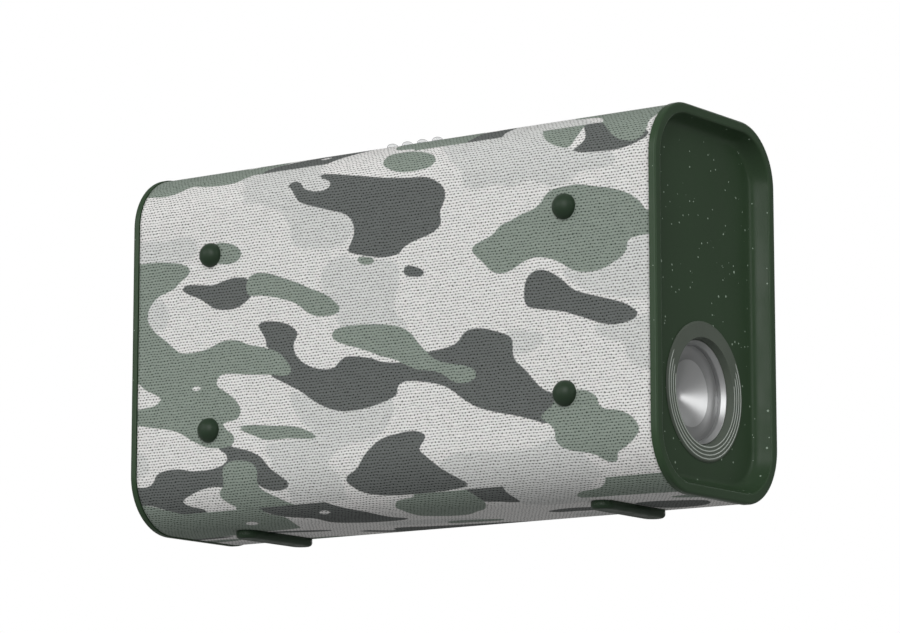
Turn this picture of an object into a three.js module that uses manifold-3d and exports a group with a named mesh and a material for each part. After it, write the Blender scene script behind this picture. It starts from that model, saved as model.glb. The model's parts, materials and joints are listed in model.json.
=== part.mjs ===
// Portable outdoor loudspeaker in a woven sleeve, in millimetres, +Z up.
// The face with the drivers looks along -Y and the two dished caps look along +X and -X.
// Pieces are drawn in the body's own frame: X and Y from its middle, Z from its underside.
// The last lines move them so that the origin lies on the standing surface, under the middle of the
// box around the whole object.
import * as THREE from 'three';
import { mergeVertices } from 'three/addons/utils/BufferGeometryUtils.js';
import Module from 'manifold-3d';

const wasm = await Module();
wasm.setup();

// Driving dimensions: the body.
const LENGTH = 179;
const DEPTH = 61;
const HEIGHT = 105;
const CORNER = 16.5;
const GAP = 0.3;
const TOUCH = 0.1;

// Sleeve and housing, as distances in from the body's outline.
const SLEEVE_SET_BACK = 0.3;
const SLEEVE_THICKNESS = 0.8;
const SLEEVE_INSIDE = SLEEVE_SET_BACK + SLEEVE_THICKNESS;
const HOUSING_OUTSIDE = SLEEVE_INSIDE + GAP;
const WALL = 2.2;
const HOUSING_INSIDE = HOUSING_OUTSIDE + WALL;

// End caps: a rim that shows beside the sleeve, and a dish that holds the radiator.
const CAP_SIDE = 2.1;
const CAP_EDGE = 0.8;
const LIP_WIDTH = 3.0;
const LIP_ROUND = 0.6;
const DISH_DEPTH = 5.0;
const DISH_DRAFT = 0.3;
const DISH_FILLET = 2.8;
const DISH_FLOOR = 2.0;
const SKIRT_LENGTH = 1.3;
const GASKET = 0.8;

// Passive radiators.
const RADIATOR_Y = 0.6;
const RADIATOR_Z = 29.3;
const TRIM_RADIUS = 19;
const TRIM_PROUD = 0.5;
const TRIM_OPENING = 14.4;
const COLLAR_DEPTH = 2.1;
const SURROUND_OUTER = 12.5;
const SURROUND_INNER = 10.5;
const DISH_APEX_DEPTH = 9.0;
const DISH_THICKNESS = 1.2;
const FRAME_RADIUS = 15.2;
const FRAME_FLANGE_RADIUS = 18;
const FRAME_FLANGE = 2;
const SCREW_OFFSET = 16.6;
const SCREW_RADIUS = 0.7;
const SCREW_HEAD_RADIUS = 1.5;
const SCREW_HEAD = 1.2;

// Face studs, bar feet and indicator lenses.
const STUD_X = 60.6;
const STUD_LOW_Z = 27.2;
const STUD_HIGH_Z = 77.5;
const STUD_RADIUS = 3.5;
const STUD_HEIGHT = 3.1;
const FOOT_LENGTH = 31;
const FOOT_WIDTH = 7;
const FOOT_HEIGHT = 2;
const LENS_PITCH = 5.2;
const LENS_RADIUS = 1.6;
const LENS_FLANGE = 0.6;
const LENS_Y = -14.7;
const LENS_PROUD = 1.05;

// Keys on the top.
const KEY_NAMES = ['pairing', 'volume_down', 'play', 'volume_up', 'power'];
const KEY_PITCH = 14;
const KEY_RADIUS = 4.25;
const KEY_Y = 7;
const KEY_PROUD = 0.9;
const KEY_TRAVEL = 0.8;
const KEY_FLANGE = 0.75;
const KEY_FLANGE_HEIGHT = 1;
const BEZEL_PROUD = 0.2;
const BEZEL_RADIUS = 6.5;
const CONTROL_BOARD_TOP = 97.4;
const POST_X = 35.5;
const POST_RADIUS = 1.8;
const SWITCH_HALF = 2.3;
const SWITCH_HEIGHT = 1.2;

// Drivers behind the face.
const DRIVER_X = 31;
const DRIVER_Z = HEIGHT / 2;
const DRIVER_FLANGE = 25.5;
const DRIVER_OPENING = 22.5;
const FORMER_RADIUS = 7.4;
const FORMER_WALL = 0.6;
const FORMER_LENGTH = 13;

// Port door on the left cap.
const PORT_Z = 76;
const PORT_WIDTH = 12;
const PORT_HEIGHT = 26;
const DOOR_WIDTH = 20;
const DOOR_HEIGHT = 34;
const DOOR_THICKNESS = 1.6;
const HINGE_Y = 11.4;
const DOOR_BARREL_HALF = 6;
const LUG_LENGTH = 3.7;
const KNUCKLE_RADIUS = 1.25;
const PIN_RADIUS = 0.65;
const PIN_BORE = 0.72;

// Battery cells lie end to end along X.
const CELL_RADIUS = 9.15;
const CELL_LENGTH = 65;
const CELL_Y = 14;
const CELL_Z = 16.5;
const CELL_SPACING = 3;

// Main board against the rear wall.
const MAIN_BOARD_Y = 22;
const MAIN_BOARD = { halfLength: 48, low: 40, high: 92 };
const BOSS_X = 43;
const BOSS_RADIUS = 2.5;
const BOSS_MARGIN = 5;

// Places that follow from the driving dimensions.
const CAP_END = LENGTH / 2;
const SLEEVE_END = CAP_END - CAP_SIDE - GAP;
const DISH_X = CAP_END - DISH_DEPTH;
const DISH_BACK_X = DISH_X - DISH_FLOOR;
const SKIRT_X = DISH_BACK_X - SKIRT_LENGTH;
const GASKET_X = SKIRT_X - TOUCH;
const HOUSING_END = GASKET_X - GASKET - TOUCH;
const FACE_Y = -DEPTH / 2 + SLEEVE_SET_BACK;
const INNER_Y = DEPTH / 2 - HOUSING_INSIDE;
const HOUSING_TOP = HEIGHT - HOUSING_OUTSIDE;
const CEILING = HEIGHT - HOUSING_INSIDE;
const STUD_Z = [STUD_LOW_Z, STUD_HIGH_Z];
const FOOT_PEG_Y = 9;
const PEG_RADIUS = 1.7;
const PEG_HOLE = 2.0;
const PEG_CATCH = 0.6;
const STEM_REACH = 8;
const LENS_HOLE = LENS_RADIUS + TOUCH * 2;
const LENS_X = [-1.5, -0.5, 0.5, 1.5].map((step) => step * LENS_PITCH);
const KEY_X = [-2, -1, 0, 1, 2].map((step) => step * KEY_PITCH);
const KEY_HOLE = KEY_RADIUS + GAP;
const HINGE_X = -(DISH_X + TOUCH * 2 + KNUCKLE_RADIUS + TOUCH / 2);
const BOARD = 1.6;

// Sides of round pieces: large, ordinary and small.
const LARGE_ROUND = 24;
const ROUND = 16;
const SMALL_ROUND = 10;

const PLASTIC = { roughness: 0.5, metalness: 0 };
const METAL = { roughness: 0.3, metalness: 1 };
const RUBBER = { roughness: 0.8, metalness: 0 };
const DARK_GREEN = 0x2e3a2d;
const RUBBER_GREEN = 0x2c3630;
const BLACK = 0x1c1d1e;
const SILVER = 0xb4b6b6;
const BOARD_GREEN = 0x1f5a38;
const CELL_BLUE = 0x3c6ea0;
const FABRIC_GREY = 0xcfd2cb;
const CLEAR = 0xf2f4f4;
const TRIM_GREY = 0x464e46;
const ROLL_GREY = 0x8a8c8c;
const STEEL_GREY = 0x4a4c4e;

// ---- Shapes ----------------------------------------------------------------------------------

// Leaves only positions, merges shared vertices, drops collapsed triangles and turns the faces out.
function closed(geometry) {
  geometry.deleteAttribute('normal');
  geometry.deleteAttribute('uv');
  const merged = mergeVertices(geometry, 1e-4);
  const { array } = merged.index;
  const points = merged.attributes.position;
  const point = (k) => new THREE.Vector3().fromBufferAttribute(points, k);
  const faces = [];
  let volume = 0;
  for (let i = 0; i < array.length; i += 3) {
    const [a, b, c] = array.slice(i, i + 3);
    if (a !== b && b !== c && c !== a) {
      faces.push([a, b, c]);
      volume += point(a).dot(point(b).cross(point(c)));
    }
  }
  if (volume < 0) faces.forEach((face) => face.reverse());
  merged.setIndex(faces.flat());
  return merged;
}

function toSolid(geometry) {
  const { index, attributes } = closed(geometry);
  const vertProperties = new Float32Array(attributes.position.array);
  const triVerts = new Uint32Array(index.array);
  return new wasm.Manifold(new wasm.Mesh({ numProp: 3, vertProperties, triVerts }));
}

function toGeometry(solid) {
  const { vertProperties, triVerts } = solid.getMesh();
  const geometry = new THREE.BufferGeometry();
  geometry.setAttribute('position', new THREE.BufferAttribute(vertProperties, 3));
  geometry.setIndex(new THREE.BufferAttribute(triVerts, 1));
  return geometry;
}

function cut(geometry, tools) {
  return toGeometry(tools.reduce((solid, tool) => solid.subtract(toSolid(tool)), toSolid(geometry)));
}

function join(geometry, others) {
  return toGeometry(others.reduce((solid, other) => solid.add(toSolid(other)), toSolid(geometry)));
}

function common(geometry, other) {
  return toGeometry(toSolid(geometry).intersect(toSolid(other)));
}

function mirrored(geometry) {
  return closed(geometry.clone().applyMatrix4(new THREE.Matrix4().makeScale(-1, 1, 1)));
}

// A box given by its lowest and highest corners.
function box(low, high) {
  const size = high.map((value, k) => value - low[k]);
  const middle = high.map((value, k) => (value + low[k]) / 2);
  return new THREE.BoxGeometry(...size).translate(...middle);
}

// Turns a profile of [radius, height] points about an axis through the given point.
function turned(axis, profile, at = [0, 0, 0], segments = ROUND) {
  const points = profile.map(([radius, height]) => new THREE.Vector2(radius, height));
  const geometry = new THREE.LatheGeometry([...points, points[0]], segments);
  if (axis === 'x') geometry.rotateZ(-Math.PI / 2);
  if (axis === 'z') geometry.rotateX(Math.PI / 2);
  return geometry.translate(...at);
}

function rod(axis, radius, from, to, at = [0, 0, 0], segments = ROUND) {
  return turned(axis, [[0, from], [radius, from], [radius, to], [0, to]], at, segments);
}

// Points of an arc in a profile, from one angle to another in degrees.
function arc(centre, radiusX, radiusY, from, to, steps) {
  return Array.from({ length: steps + 1 }, (_, k) => {
    const angle = THREE.MathUtils.degToRad(from + ((to - from) * k) / steps);
    return [centre[0] + radiusX * Math.cos(angle), centre[1] + radiusY * Math.sin(angle)];
  });
}

// The outline of a rounded rectangle as [u, v] points, anticlockwise.
function roundedOutline(width, height, radius, steps = 5) {
  const u = width / 2 - radius;
  const v = height / 2 - radius;
  const centres = [[u, -v], [u, v], [-u, v], [-u, -v]];
  return centres.flatMap((centre, k) => arc(centre, radius, radius, 90 * k - 90, 90 * k, steps));
}

function shapeOf(outline, holes = []) {
  const shape = new THREE.Shape(outline.map(([u, v]) => new THREE.Vector2(u, v)));
  shape.holes = holes.map((hole) => new THREE.Path(hole.map(([u, v]) => new THREE.Vector2(u, v))));
  return shape;
}

// Extrudes an outline drawn in the YZ plane from one X to another.
function extrudedX(outline, holes, from, to) {
  const geometry = new THREE.ExtrudeGeometry(shapeOf(outline, holes), {
    depth: to - from,
    bevelEnabled: false,
  });
  const toYZ = new THREE.Matrix4().makeBasis(
    new THREE.Vector3(0, 1, 0),
    new THREE.Vector3(0, 0, 1),
    new THREE.Vector3(1, 0, 0),
  );
  return geometry.applyMatrix4(toYZ).translate(from, 0, 0);
}

// Extrudes an outline drawn in the XY plane from one Z to another.
function extrudedZ(outline, holes, from, to) {
  const geometry = new THREE.ExtrudeGeometry(shapeOf(outline, holes), {
    depth: to - from,
    bevelEnabled: false,
  });
  return geometry.translate(0, 0, from);
}

// Skins a stack of rings with the same number of points, and closes each end to its middle.
function loft(rings) {
  const count = rings[0].length;
  const middleOf = (ring) => ring.reduce((sum, p) => sum.add(p), new THREE.Vector3()).divideScalar(count);
  const points = [...rings.flat(), middleOf(rings[0]), middleOf(rings.at(-1))];
  const firstMiddle = points.length - 2;
  const lastMiddle = points.length - 1;
  const lastRing = (rings.length - 1) * count;
  const index = [];
  for (let k = 0; k < count; k += 1) {
    const next = (k + 1) % count;
    index.push(firstMiddle, next, k, lastMiddle, lastRing + k, lastRing + next);
    for (let ring = 0; ring < rings.length - 1; ring += 1) {
      const a = ring * count;
      const b = a + count;
      index.push(a + k, a + next, b + k, a + next, b + next, b + k);
    }
  }
  const geometry = new THREE.BufferGeometry().setFromPoints(points);
  geometry.setIndex(index);
  return geometry;
}

// The body's outline, set in by a distance, as [y, z] points.
function bodyOutline(inset) {
  const outline = roundedOutline(DEPTH - 2 * inset, HEIGHT - 2 * inset, CORNER - inset);
  return outline.map(([y, z]) => [y, z + HEIGHT / 2]);
}

function bodyRing(x, inset) {
  return bodyOutline(inset).map(([y, z]) => new THREE.Vector3(x, y, z));
}

const group = new THREE.Group();

function add(name, geometry, color, finish) {
  const mesh = new THREE.Mesh(closed(geometry), new THREE.MeshStandardMaterial({ color, ...finish }));
  mesh.name = name;
  group.add(mesh);
}

// Adds a piece drawn for the right end, and its mirror image at the left end.
function addBothEnds(name, geometry, color, finish) {
  add(`${name}_right`, geometry, color, finish);
  add(`${name}_left`, mirrored(geometry), color, finish);
}

// ---- Sleeve and housing ----------------------------------------------------------------------

function studHoles(radius) {
  const places = [-STUD_X, STUD_X].flatMap((x) => STUD_Z.map((z) => [x, 0, z]));
  return places.map((place) => rod('y', radius, -DEPTH, FACE_Y + STEM_REACH, place, SMALL_ROUND));
}

function footHoles(radius) {
  const places = [-STUD_X, STUD_X].flatMap((x) => [-FOOT_PEG_Y, FOOT_PEG_Y].map((y) => [x, y, 0]));
  return places.map((place) => rod('z', radius, -1, HOUSING_INSIDE + 1, place, SMALL_ROUND));
}

function lensHoles(radius) {
  return LENS_X.map((x) => rod('z', radius, CEILING - 2, HEIGHT + 1, [x, LENS_Y, 0], SMALL_ROUND));
}

function bezelOutline(radius) {
  const width = KEY_PITCH * (KEY_X.length - 1) + 2 * radius;
  return roundedOutline(width, 2 * radius, radius).map(([x, y]) => [x, y + KEY_Y]);
}

function sleeve() {
  const tube = extrudedX(
    bodyOutline(SLEEVE_SET_BACK),
    [bodyOutline(SLEEVE_INSIDE)],
    -SLEEVE_END,
    SLEEVE_END,
  );
  const keyOpening = extrudedZ(bezelOutline(BEZEL_RADIUS + GAP), [], CEILING, HEIGHT + 1);
  const holes = [...studHoles(PEG_HOLE), ...footHoles(PEG_HOLE), ...lensHoles(LENS_HOLE)];
  return cut(tube, [...holes, keyOpening]);
}

function housingTube() {
  return extrudedX(bodyOutline(HOUSING_OUTSIDE), [bodyOutline(HOUSING_INSIDE)], -HOUSING_END, HOUSING_END);
}

// Posts that hang from the ceiling and hold the control board.
function boardPosts(y) {
  return [-POST_X, POST_X].map((x) =>
    rod('z', POST_RADIUS, CONTROL_BOARD_TOP + TOUCH, CEILING + 1, [x, y, 0], SMALL_ROUND),
  );
}

function frontHousing() {
  const half = box([-LENGTH, -DEPTH, -1], [LENGTH, -TOUCH / 2, HEIGHT + 1]);
  const driverHoles = [-DRIVER_X, DRIVER_X].map((x) =>
    rod('y', DRIVER_OPENING, -DEPTH, -INNER_Y + 2, [x, 0, DRIVER_Z], LARGE_ROUND),
  );
  const shell = join(common(housingTube(), half), boardPosts(-12));
  return cut(shell, [
    ...driverHoles,
    ...studHoles(PEG_HOLE),
    ...footHoles(PEG_HOLE),
    ...lensHoles(LENS_HOLE),
  ]);
}

function rearHousing() {
  const half = box([-LENGTH, TOUCH / 2, -1], [LENGTH, DEPTH, HEIGHT + 1]);
  const bossZ = [MAIN_BOARD.low + BOSS_MARGIN, MAIN_BOARD.high - BOSS_MARGIN];
  const bossFront = MAIN_BOARD_Y + BOARD + TOUCH;
  const bosses = [-BOSS_X, BOSS_X].flatMap((x) =>
    bossZ.map((z) => rod('y', BOSS_RADIUS, bossFront, INNER_Y + 1, [x, 0, z], SMALL_ROUND)),
  );
  const keyHoles = KEY_X.map((x) => rod('z', KEY_HOLE, CEILING - 2, HEIGHT, [x, KEY_Y, 0]));
  const shell = join(common(housingTube(), half), [...bosses, ...boardPosts(KEY_Y)]);
  return cut(shell, [...keyHoles, ...footHoles(PEG_HOLE)]);
}

add('fabric_sleeve', sleeve(), FABRIC_GREY, RUBBER);
add('front_housing', frontHousing(), BLACK, PLASTIC);
add('rear_housing', rearHousing(), BLACK, PLASTIC);

// ---- End caps and gaskets --------------------------------------------------------------------

// The cap's section, from the middle of its back round the skirt and rim to the middle of the dish.
function capSection() {
  const wallTop = DISH_X + DISH_FILLET;
  const wallInset = LIP_WIDTH + DISH_DRAFT;
  return [
    [DISH_BACK_X, DISH_FILLET + wallInset],
    [DISH_BACK_X, wallInset + GAP],
    [SKIRT_X, wallInset + GAP],
    [SKIRT_X, HOUSING_OUTSIDE],
    [CAP_END - CAP_SIDE, HOUSING_OUTSIDE],
    [CAP_END - CAP_SIDE, 0],
    ...arc([CAP_END - CAP_EDGE, CAP_EDGE], CAP_EDGE, -CAP_EDGE, 90, 0, 2),
    ...arc([CAP_END - LIP_ROUND, LIP_WIDTH - LIP_ROUND], LIP_ROUND, LIP_ROUND, 0, 90, 2),
    ...arc([wallTop, wallInset + DISH_FILLET], DISH_FILLET, DISH_FILLET, 270, 180, 3),
  ];
}

function cap() {
  const tray = loft(capSection().map(([x, inset]) => bodyRing(x, inset)));
  const at = [0, RADIATOR_Y, RADIATOR_Z];
  return cut(tray, [rod('x', FRAME_RADIUS + GAP, DISH_BACK_X - 1, DISH_X + 1, at, LARGE_ROUND)]);
}

function portOutline(grow = 0) {
  const outline = roundedOutline(PORT_WIDTH + 2 * grow, PORT_HEIGHT + 2 * grow, 3 + grow, 4);
  return outline.map(([y, z]) => [y, z + PORT_Z]);
}

const LUG_SPANS = [
  [PORT_Z - DOOR_BARREL_HALF - GAP - LUG_LENGTH, PORT_Z - DOOR_BARREL_HALF - GAP],
  [PORT_Z + DOOR_BARREL_HALF + GAP, PORT_Z + DOOR_BARREL_HALF + GAP + LUG_LENGTH],
];

// A hinge knuckle round the pin's line, with a web that reaches back to the given corner.
function knuckle(low, high, webCorner) {
  const barrel = rod('z', KNUCKLE_RADIUS, low, high, [HINGE_X, HINGE_Y, 0]);
  const corner = [...webCorner, high];
  const web = box(
    [Math.min(HINGE_X, corner[0]), Math.min(HINGE_Y, corner[1]), low],
    [Math.max(HINGE_X, corner[0]), Math.max(HINGE_Y, corner[1]), high],
  );
  return [barrel, web];
}

function pinBore() {
  return rod('z', PIN_BORE, PORT_Z - DOOR_HEIGHT, PORT_Z + DOOR_HEIGHT, [HINGE_X, HINGE_Y, 0]);
}

function leftCap() {
  const opening = extrudedX(portOutline(), [], -DISH_X - 1, -DISH_BACK_X + 1);
  const lugs = LUG_SPANS.flatMap(([low, high]) =>
    knuckle(low, high, [-DISH_X + 0.5, HINGE_Y + KNUCKLE_RADIUS]),
  );
  return cut(join(mirrored(cap()), lugs), [opening, pinBore()]);
}

function gasket() {
  return extrudedX(
    bodyOutline(HOUSING_OUTSIDE + TOUCH),
    [bodyOutline(HOUSING_INSIDE - TOUCH)],
    GASKET_X - GASKET,
    GASKET_X,
  );
}

add('end_cap_right', cap(), DARK_GREEN, PLASTIC);
add('end_cap_left', leftCap(), DARK_GREEN, PLASTIC);
addBothEnds('cap_gasket', gasket(), BLACK, RUBBER);

// ---- Passive radiators -----------------------------------------------------------------------

const RADIATOR_AT = [0, RADIATOR_Y, RADIATOR_Z];
const TRIM_X = DISH_X + TRIM_PROUD;
const COLLAR_X = TRIM_X - COLLAR_DEPTH;
const FRAME_X = COLLAR_X - TOUCH * 2;
const FRAME_OPENING = SURROUND_OUTER + TOUCH * 2;
const SURROUND_X = FRAME_X - 1.7;
const FLANGE_X = DISH_BACK_X - TOUCH;

function radiatorTrim() {
  const profile = [
    [TRIM_RADIUS, DISH_X + TOUCH],
    [TRIM_RADIUS, TRIM_X - 0.2],
    [TRIM_RADIUS - 0.2, TRIM_X],
    [TRIM_OPENING, TRIM_X],
    [TRIM_OPENING, COLLAR_X],
    [FRAME_RADIUS, COLLAR_X],
    [FRAME_RADIUS, DISH_X + TOUCH],
  ];
  return turned('x', profile, RADIATOR_AT, LARGE_ROUND);
}

const SCREW_PLACES = [-SCREW_OFFSET, SCREW_OFFSET].map((dy) => [0, RADIATOR_Y + dy, RADIATOR_Z]);

// A ring with a flange behind the cap's floor, and a bevel that leads down to the roll.
function radiatorFrame() {
  const flangeBack = FLANGE_X - FRAME_FLANGE;
  const profile = [
    [TRIM_OPENING, FRAME_X],
    [FRAME_OPENING, FRAME_X - 1.4],
    [FRAME_OPENING, flangeBack],
    [FRAME_FLANGE_RADIUS, flangeBack],
    [FRAME_FLANGE_RADIUS, FLANGE_X],
    [FRAME_RADIUS, FLANGE_X],
    [FRAME_RADIUS, FRAME_X],
  ];
  const frame = turned('x', profile, RADIATOR_AT, LARGE_ROUND);
  const holes = SCREW_PLACES.map((place) =>
    rod('x', SCREW_RADIUS + TOUCH, flangeBack - 1, FLANGE_X + 1, place, SMALL_ROUND),
  );
  return cut(frame, holes);
}

// A half roll between two radii that bulges along its axis by half its width.
function halfRoll(inner, outer, base, towards, thickness) {
  const middle = (inner + outer) / 2;
  const radius = (outer - inner) / 2;
  const within = radius - thickness;
  return [
    ...arc([middle, base], radius, radius * towards, 180, 0, 4),
    ...arc([middle, base], within, within * towards, 0, 180, 2),
  ];
}

function radiatorCone() {
  const rim = SURROUND_INNER - TOUCH * 2;
  const apex = TRIM_X - DISH_APEX_DEPTH;
  const front = [[0, 0], [2, 0.2], [5, 1.7], [8, 3.7], [rim, 5.2]];
  const back = front.map(([radius, height]) => [radius, height - DISH_THICKNESS]).reverse();
  const profile = [...front, ...back].map(([radius, height]) => [radius, apex + height]);
  return turned('x', profile, RADIATOR_AT, LARGE_ROUND);
}

// A pan-head screw with its head behind the frame's flange.
function screw(place) {
  const tip = FLANGE_X - TOUCH;
  const headFront = tip - FRAME_FLANGE;
  const profile = [
    [0, headFront - SCREW_HEAD],
    [SCREW_HEAD_RADIUS, headFront - SCREW_HEAD],
    [SCREW_HEAD_RADIUS, headFront],
    [SCREW_RADIUS, headFront],
    [SCREW_RADIUS, tip],
    [0, tip],
  ];
  return turned('x', profile, place, SMALL_ROUND);
}

addBothEnds('radiator_trim', radiatorTrim(), TRIM_GREY, PLASTIC);
addBothEnds('radiator_frame', radiatorFrame(), SILVER, METAL);
addBothEnds(
  'radiator_surround',
  turned('x', halfRoll(SURROUND_INNER, SURROUND_OUTER, SURROUND_X, 1, 0.4), RADIATOR_AT, LARGE_ROUND),
  ROLL_GREY,
  RUBBER,
);
addBothEnds('radiator_cone', radiatorCone(), SILVER, METAL);
addBothEnds('radiator_screw_front', screw(SCREW_PLACES[0]), SILVER, METAL);
addBothEnds('radiator_screw_rear', screw(SCREW_PLACES[1]), SILVER, METAL);

// ---- Face studs, feet and indicator lenses ---------------------------------------------------

// A domed stud whose stem snaps through the sleeve and the housing.
function stud(x, z) {
  const base = FACE_Y - TOUCH;
  const wallInside = -INNER_Y + GAP;
  const profile = [
    ...arc([0, base], STUD_RADIUS, -(STUD_HEIGHT - TOUCH), 90, 0, 4),
    [PEG_RADIUS, base],
    [PEG_RADIUS, wallInside],
    [PEG_RADIUS + PEG_CATCH, wallInside],
    [PEG_RADIUS - 0.4, wallInside + 1.7],
    [0, wallInside + 1.7],
  ];
  return turned('y', profile, [x, 0, z]);
}

['lower', 'upper'].forEach((level, row) => {
  add(`face_stud_${level}_left`, stud(-STUD_X, STUD_Z[row]), RUBBER_GREEN, RUBBER);
  add(`face_stud_${level}_right`, stud(STUD_X, STUD_Z[row]), RUBBER_GREEN, RUBBER);
});

const FOOT_ROUND = 1.1;

// A bar foot with a rounded lower edge, and two pegs up through the sleeve and the housing.
function foot() {
  const top = SLEEVE_SET_BACK - TOUCH;
  const ring = (z, inset) =>
    roundedOutline(FOOT_WIDTH - 2 * inset, FOOT_LENGTH - 2 * inset, FOOT_WIDTH / 2 - inset - 0.01, 4).map(
      ([x, y]) => new THREE.Vector3(x, y, z),
    );
  const edge = arc([FOOT_ROUND, -FOOT_HEIGHT + FOOT_ROUND], FOOT_ROUND, FOOT_ROUND, 180, 270, 3);
  const bar = loft([ring(top, 0), ...edge.map(([inset, z]) => ring(z, inset))]);
  const catchZ = HOUSING_INSIDE + GAP;
  const peg = [
    [0, -1],
    [PEG_RADIUS, -1],
    [PEG_RADIUS, catchZ],
    [PEG_RADIUS + PEG_CATCH, catchZ],
    [PEG_RADIUS - 0.4, catchZ + 1.2],
    [0, catchZ + 1.2],
  ];
  const pegs = [-FOOT_PEG_Y, FOOT_PEG_Y].map((y) => turned('z', peg, [0, y, 0], SMALL_ROUND));
  return join(bar, pegs).translate(STUD_X, 0, 0);
}

addBothEnds('foot', foot(), RUBBER_GREEN, RUBBER);

function lens(x) {
  const top = HEIGHT + LENS_PROUD;
  const profile = [
    [0, CONTROL_BOARD_TOP + 1],
    [LENS_RADIUS, CONTROL_BOARD_TOP + 1],
    [LENS_RADIUS, CEILING - 2.2],
    [LENS_RADIUS + LENS_FLANGE, CEILING - 2.2],
    [LENS_RADIUS + LENS_FLANGE, CEILING - 1],
    [LENS_RADIUS, CEILING - 1],
    ...arc([0, top - 0.8], LENS_RADIUS, 0.8, 0, 90, 3),
  ];
  return turned('z', profile, [x, LENS_Y, 0], SMALL_ROUND);
}

LENS_X.forEach((x, k) => {
  add(`indicator_lens_${k + 1}`, lens(x), CLEAR, { roughness: 0.1, metalness: 0 });
});

// ---- Keys, control board and switches --------------------------------------------------------

const KEY_FOOT = CONTROL_BOARD_TOP + 2.5;

function key(x) {
  const top = HEIGHT + KEY_PROUD;
  const profile = [
    [0, KEY_FOOT],
    [KEY_RADIUS + KEY_FLANGE, KEY_FOOT],
    [KEY_RADIUS + KEY_FLANGE, KEY_FOOT + KEY_FLANGE_HEIGHT],
    [KEY_RADIUS, KEY_FOOT + KEY_FLANGE_HEIGHT],
    [KEY_RADIUS, top - 0.4],
    [KEY_RADIUS - 0.4, top],
    [0, top],
  ];
  return turned('z', profile, [x, KEY_Y, 0]);
}

function keyBezel() {
  const holes = KEY_X.map((x) => rod('z', KEY_HOLE, HOUSING_TOP, HEIGHT + 1, [x, KEY_Y, 0]));
  return cut(extrudedZ(bezelOutline(BEZEL_RADIUS), [], HOUSING_TOP + TOUCH, HEIGHT + BEZEL_PROUD), holes);
}

function tactSwitch(x) {
  const low = CONTROL_BOARD_TOP + TOUCH;
  const top = low + SWITCH_HEIGHT;
  const body = box(
    [x - SWITCH_HALF, KEY_Y - SWITCH_HALF, low],
    [x + SWITCH_HALF, KEY_Y + SWITCH_HALF, top],
  );
  const plungerTop = KEY_FOOT - KEY_TRAVEL - TOUCH;
  return join(body, [rod('z', SWITCH_HALF / 2, top - 0.2, plungerTop, [x, KEY_Y, 0], SMALL_ROUND)]);
}

function controlBoard() {
  const low = CONTROL_BOARD_TOP - BOARD;
  const plate = box([-POST_X - 2.5, -17, low], [POST_X + 2.5, 13, CONTROL_BOARD_TOP]);
  const lamps = LENS_X.map((x) =>
    box([x - 0.8, LENS_Y - 0.5, CONTROL_BOARD_TOP - 0.5], [x + 0.8, LENS_Y + 0.5, CONTROL_BOARD_TOP + 0.7]),
  );
  const chip = box([-6, -9, low - 1], [6, 1, low + 0.5]);
  return join(plate, [...lamps, chip]);
}

KEY_NAMES.forEach((name, k) => {
  add(`key_${name}`, key(KEY_X[k]), RUBBER_GREEN, RUBBER);
  add(`switch_${name}`, tactSwitch(KEY_X[k]), SILVER, METAL);
});
add('key_bezel', keyBezel(), DARK_GREEN, PLASTIC);
add('control_board', controlBoard(), BOARD_GREEN, PLASTIC);

// ---- Drivers ---------------------------------------------------------------------------------

const FLANGE_FRONT = -INNER_Y + TOUCH;

function driverFrame() {
  const seat = FLANGE_FRONT + 14;
  const profile = [
    [DRIVER_FLANGE, FLANGE_FRONT],
    [DRIVER_FLANGE, FLANGE_FRONT + 1.5],
    [23.2, FLANGE_FRONT + 1.5],
    [14.2, seat],
    [14.2, seat + 1.5],
    [7.6, seat + 1.5],
    [7.6, seat],
    [12.6, seat],
    [21.6, FLANGE_FRONT + 1.5],
    [21.6, FLANGE_FRONT],
  ];
  return turned('y', profile, [DRIVER_X, 0, DRIVER_Z], LARGE_ROUND);
}

function driverMagnet() {
  const front = FLANGE_FRONT + 15.6;
  const back = front + 9.7;
  const profile = [
    [0, front],
    [6.4, front],
    [6.4, back - 3],
    [7.8, back - 3],
    [7.8, front],
    [13.5, front],
    [13.5, back],
    [0, back],
  ];
  return turned('y', profile, [DRIVER_X, 0, DRIVER_Z], ROUND);
}

// Dust cap, cone and coil former as one light piece.
function driverCone() {
  const edge = FLANGE_FRONT + 0.8;
  const neck = edge + 6.1;
  const profile = [
    [0, neck - 1.3],
    [4, neck - 0.9],
    [FORMER_RADIUS, neck],
    [18, edge],
    [18.3, edge + 0.4],
    [FORMER_RADIUS, neck + 0.7],
    [FORMER_RADIUS, neck + FORMER_LENGTH],
    [FORMER_RADIUS - FORMER_WALL, neck + FORMER_LENGTH],
    [FORMER_RADIUS - FORMER_WALL, neck + 0.9],
    [4, neck - 0.2],
    [0, neck - 0.6],
  ];
  return turned('y', profile, [DRIVER_X, 0, DRIVER_Z], ROUND);
}

function driverSurround() {
  const profile = halfRoll(18.6, 21.4, FLANGE_FRONT + 0.6, -1, 0.4);
  return turned('y', profile, [DRIVER_X, 0, DRIVER_Z], LARGE_ROUND);
}

addBothEnds('driver_frame', driverFrame(), STEEL_GREY, METAL);
addBothEnds('driver_magnet', driverMagnet(), STEEL_GREY, METAL);
addBothEnds('driver_surround', driverSurround(), BLACK, RUBBER);
addBothEnds('driver_cone', driverCone(), BLACK, PLASTIC);

// ---- Port door, sockets and boards -----------------------------------------------------------

const DOOR_INSIDE = -DISH_X - TOUCH * 2;
const DOOR_OUTSIDE = DOOR_INSIDE - DOOR_THICKNESS;

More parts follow.
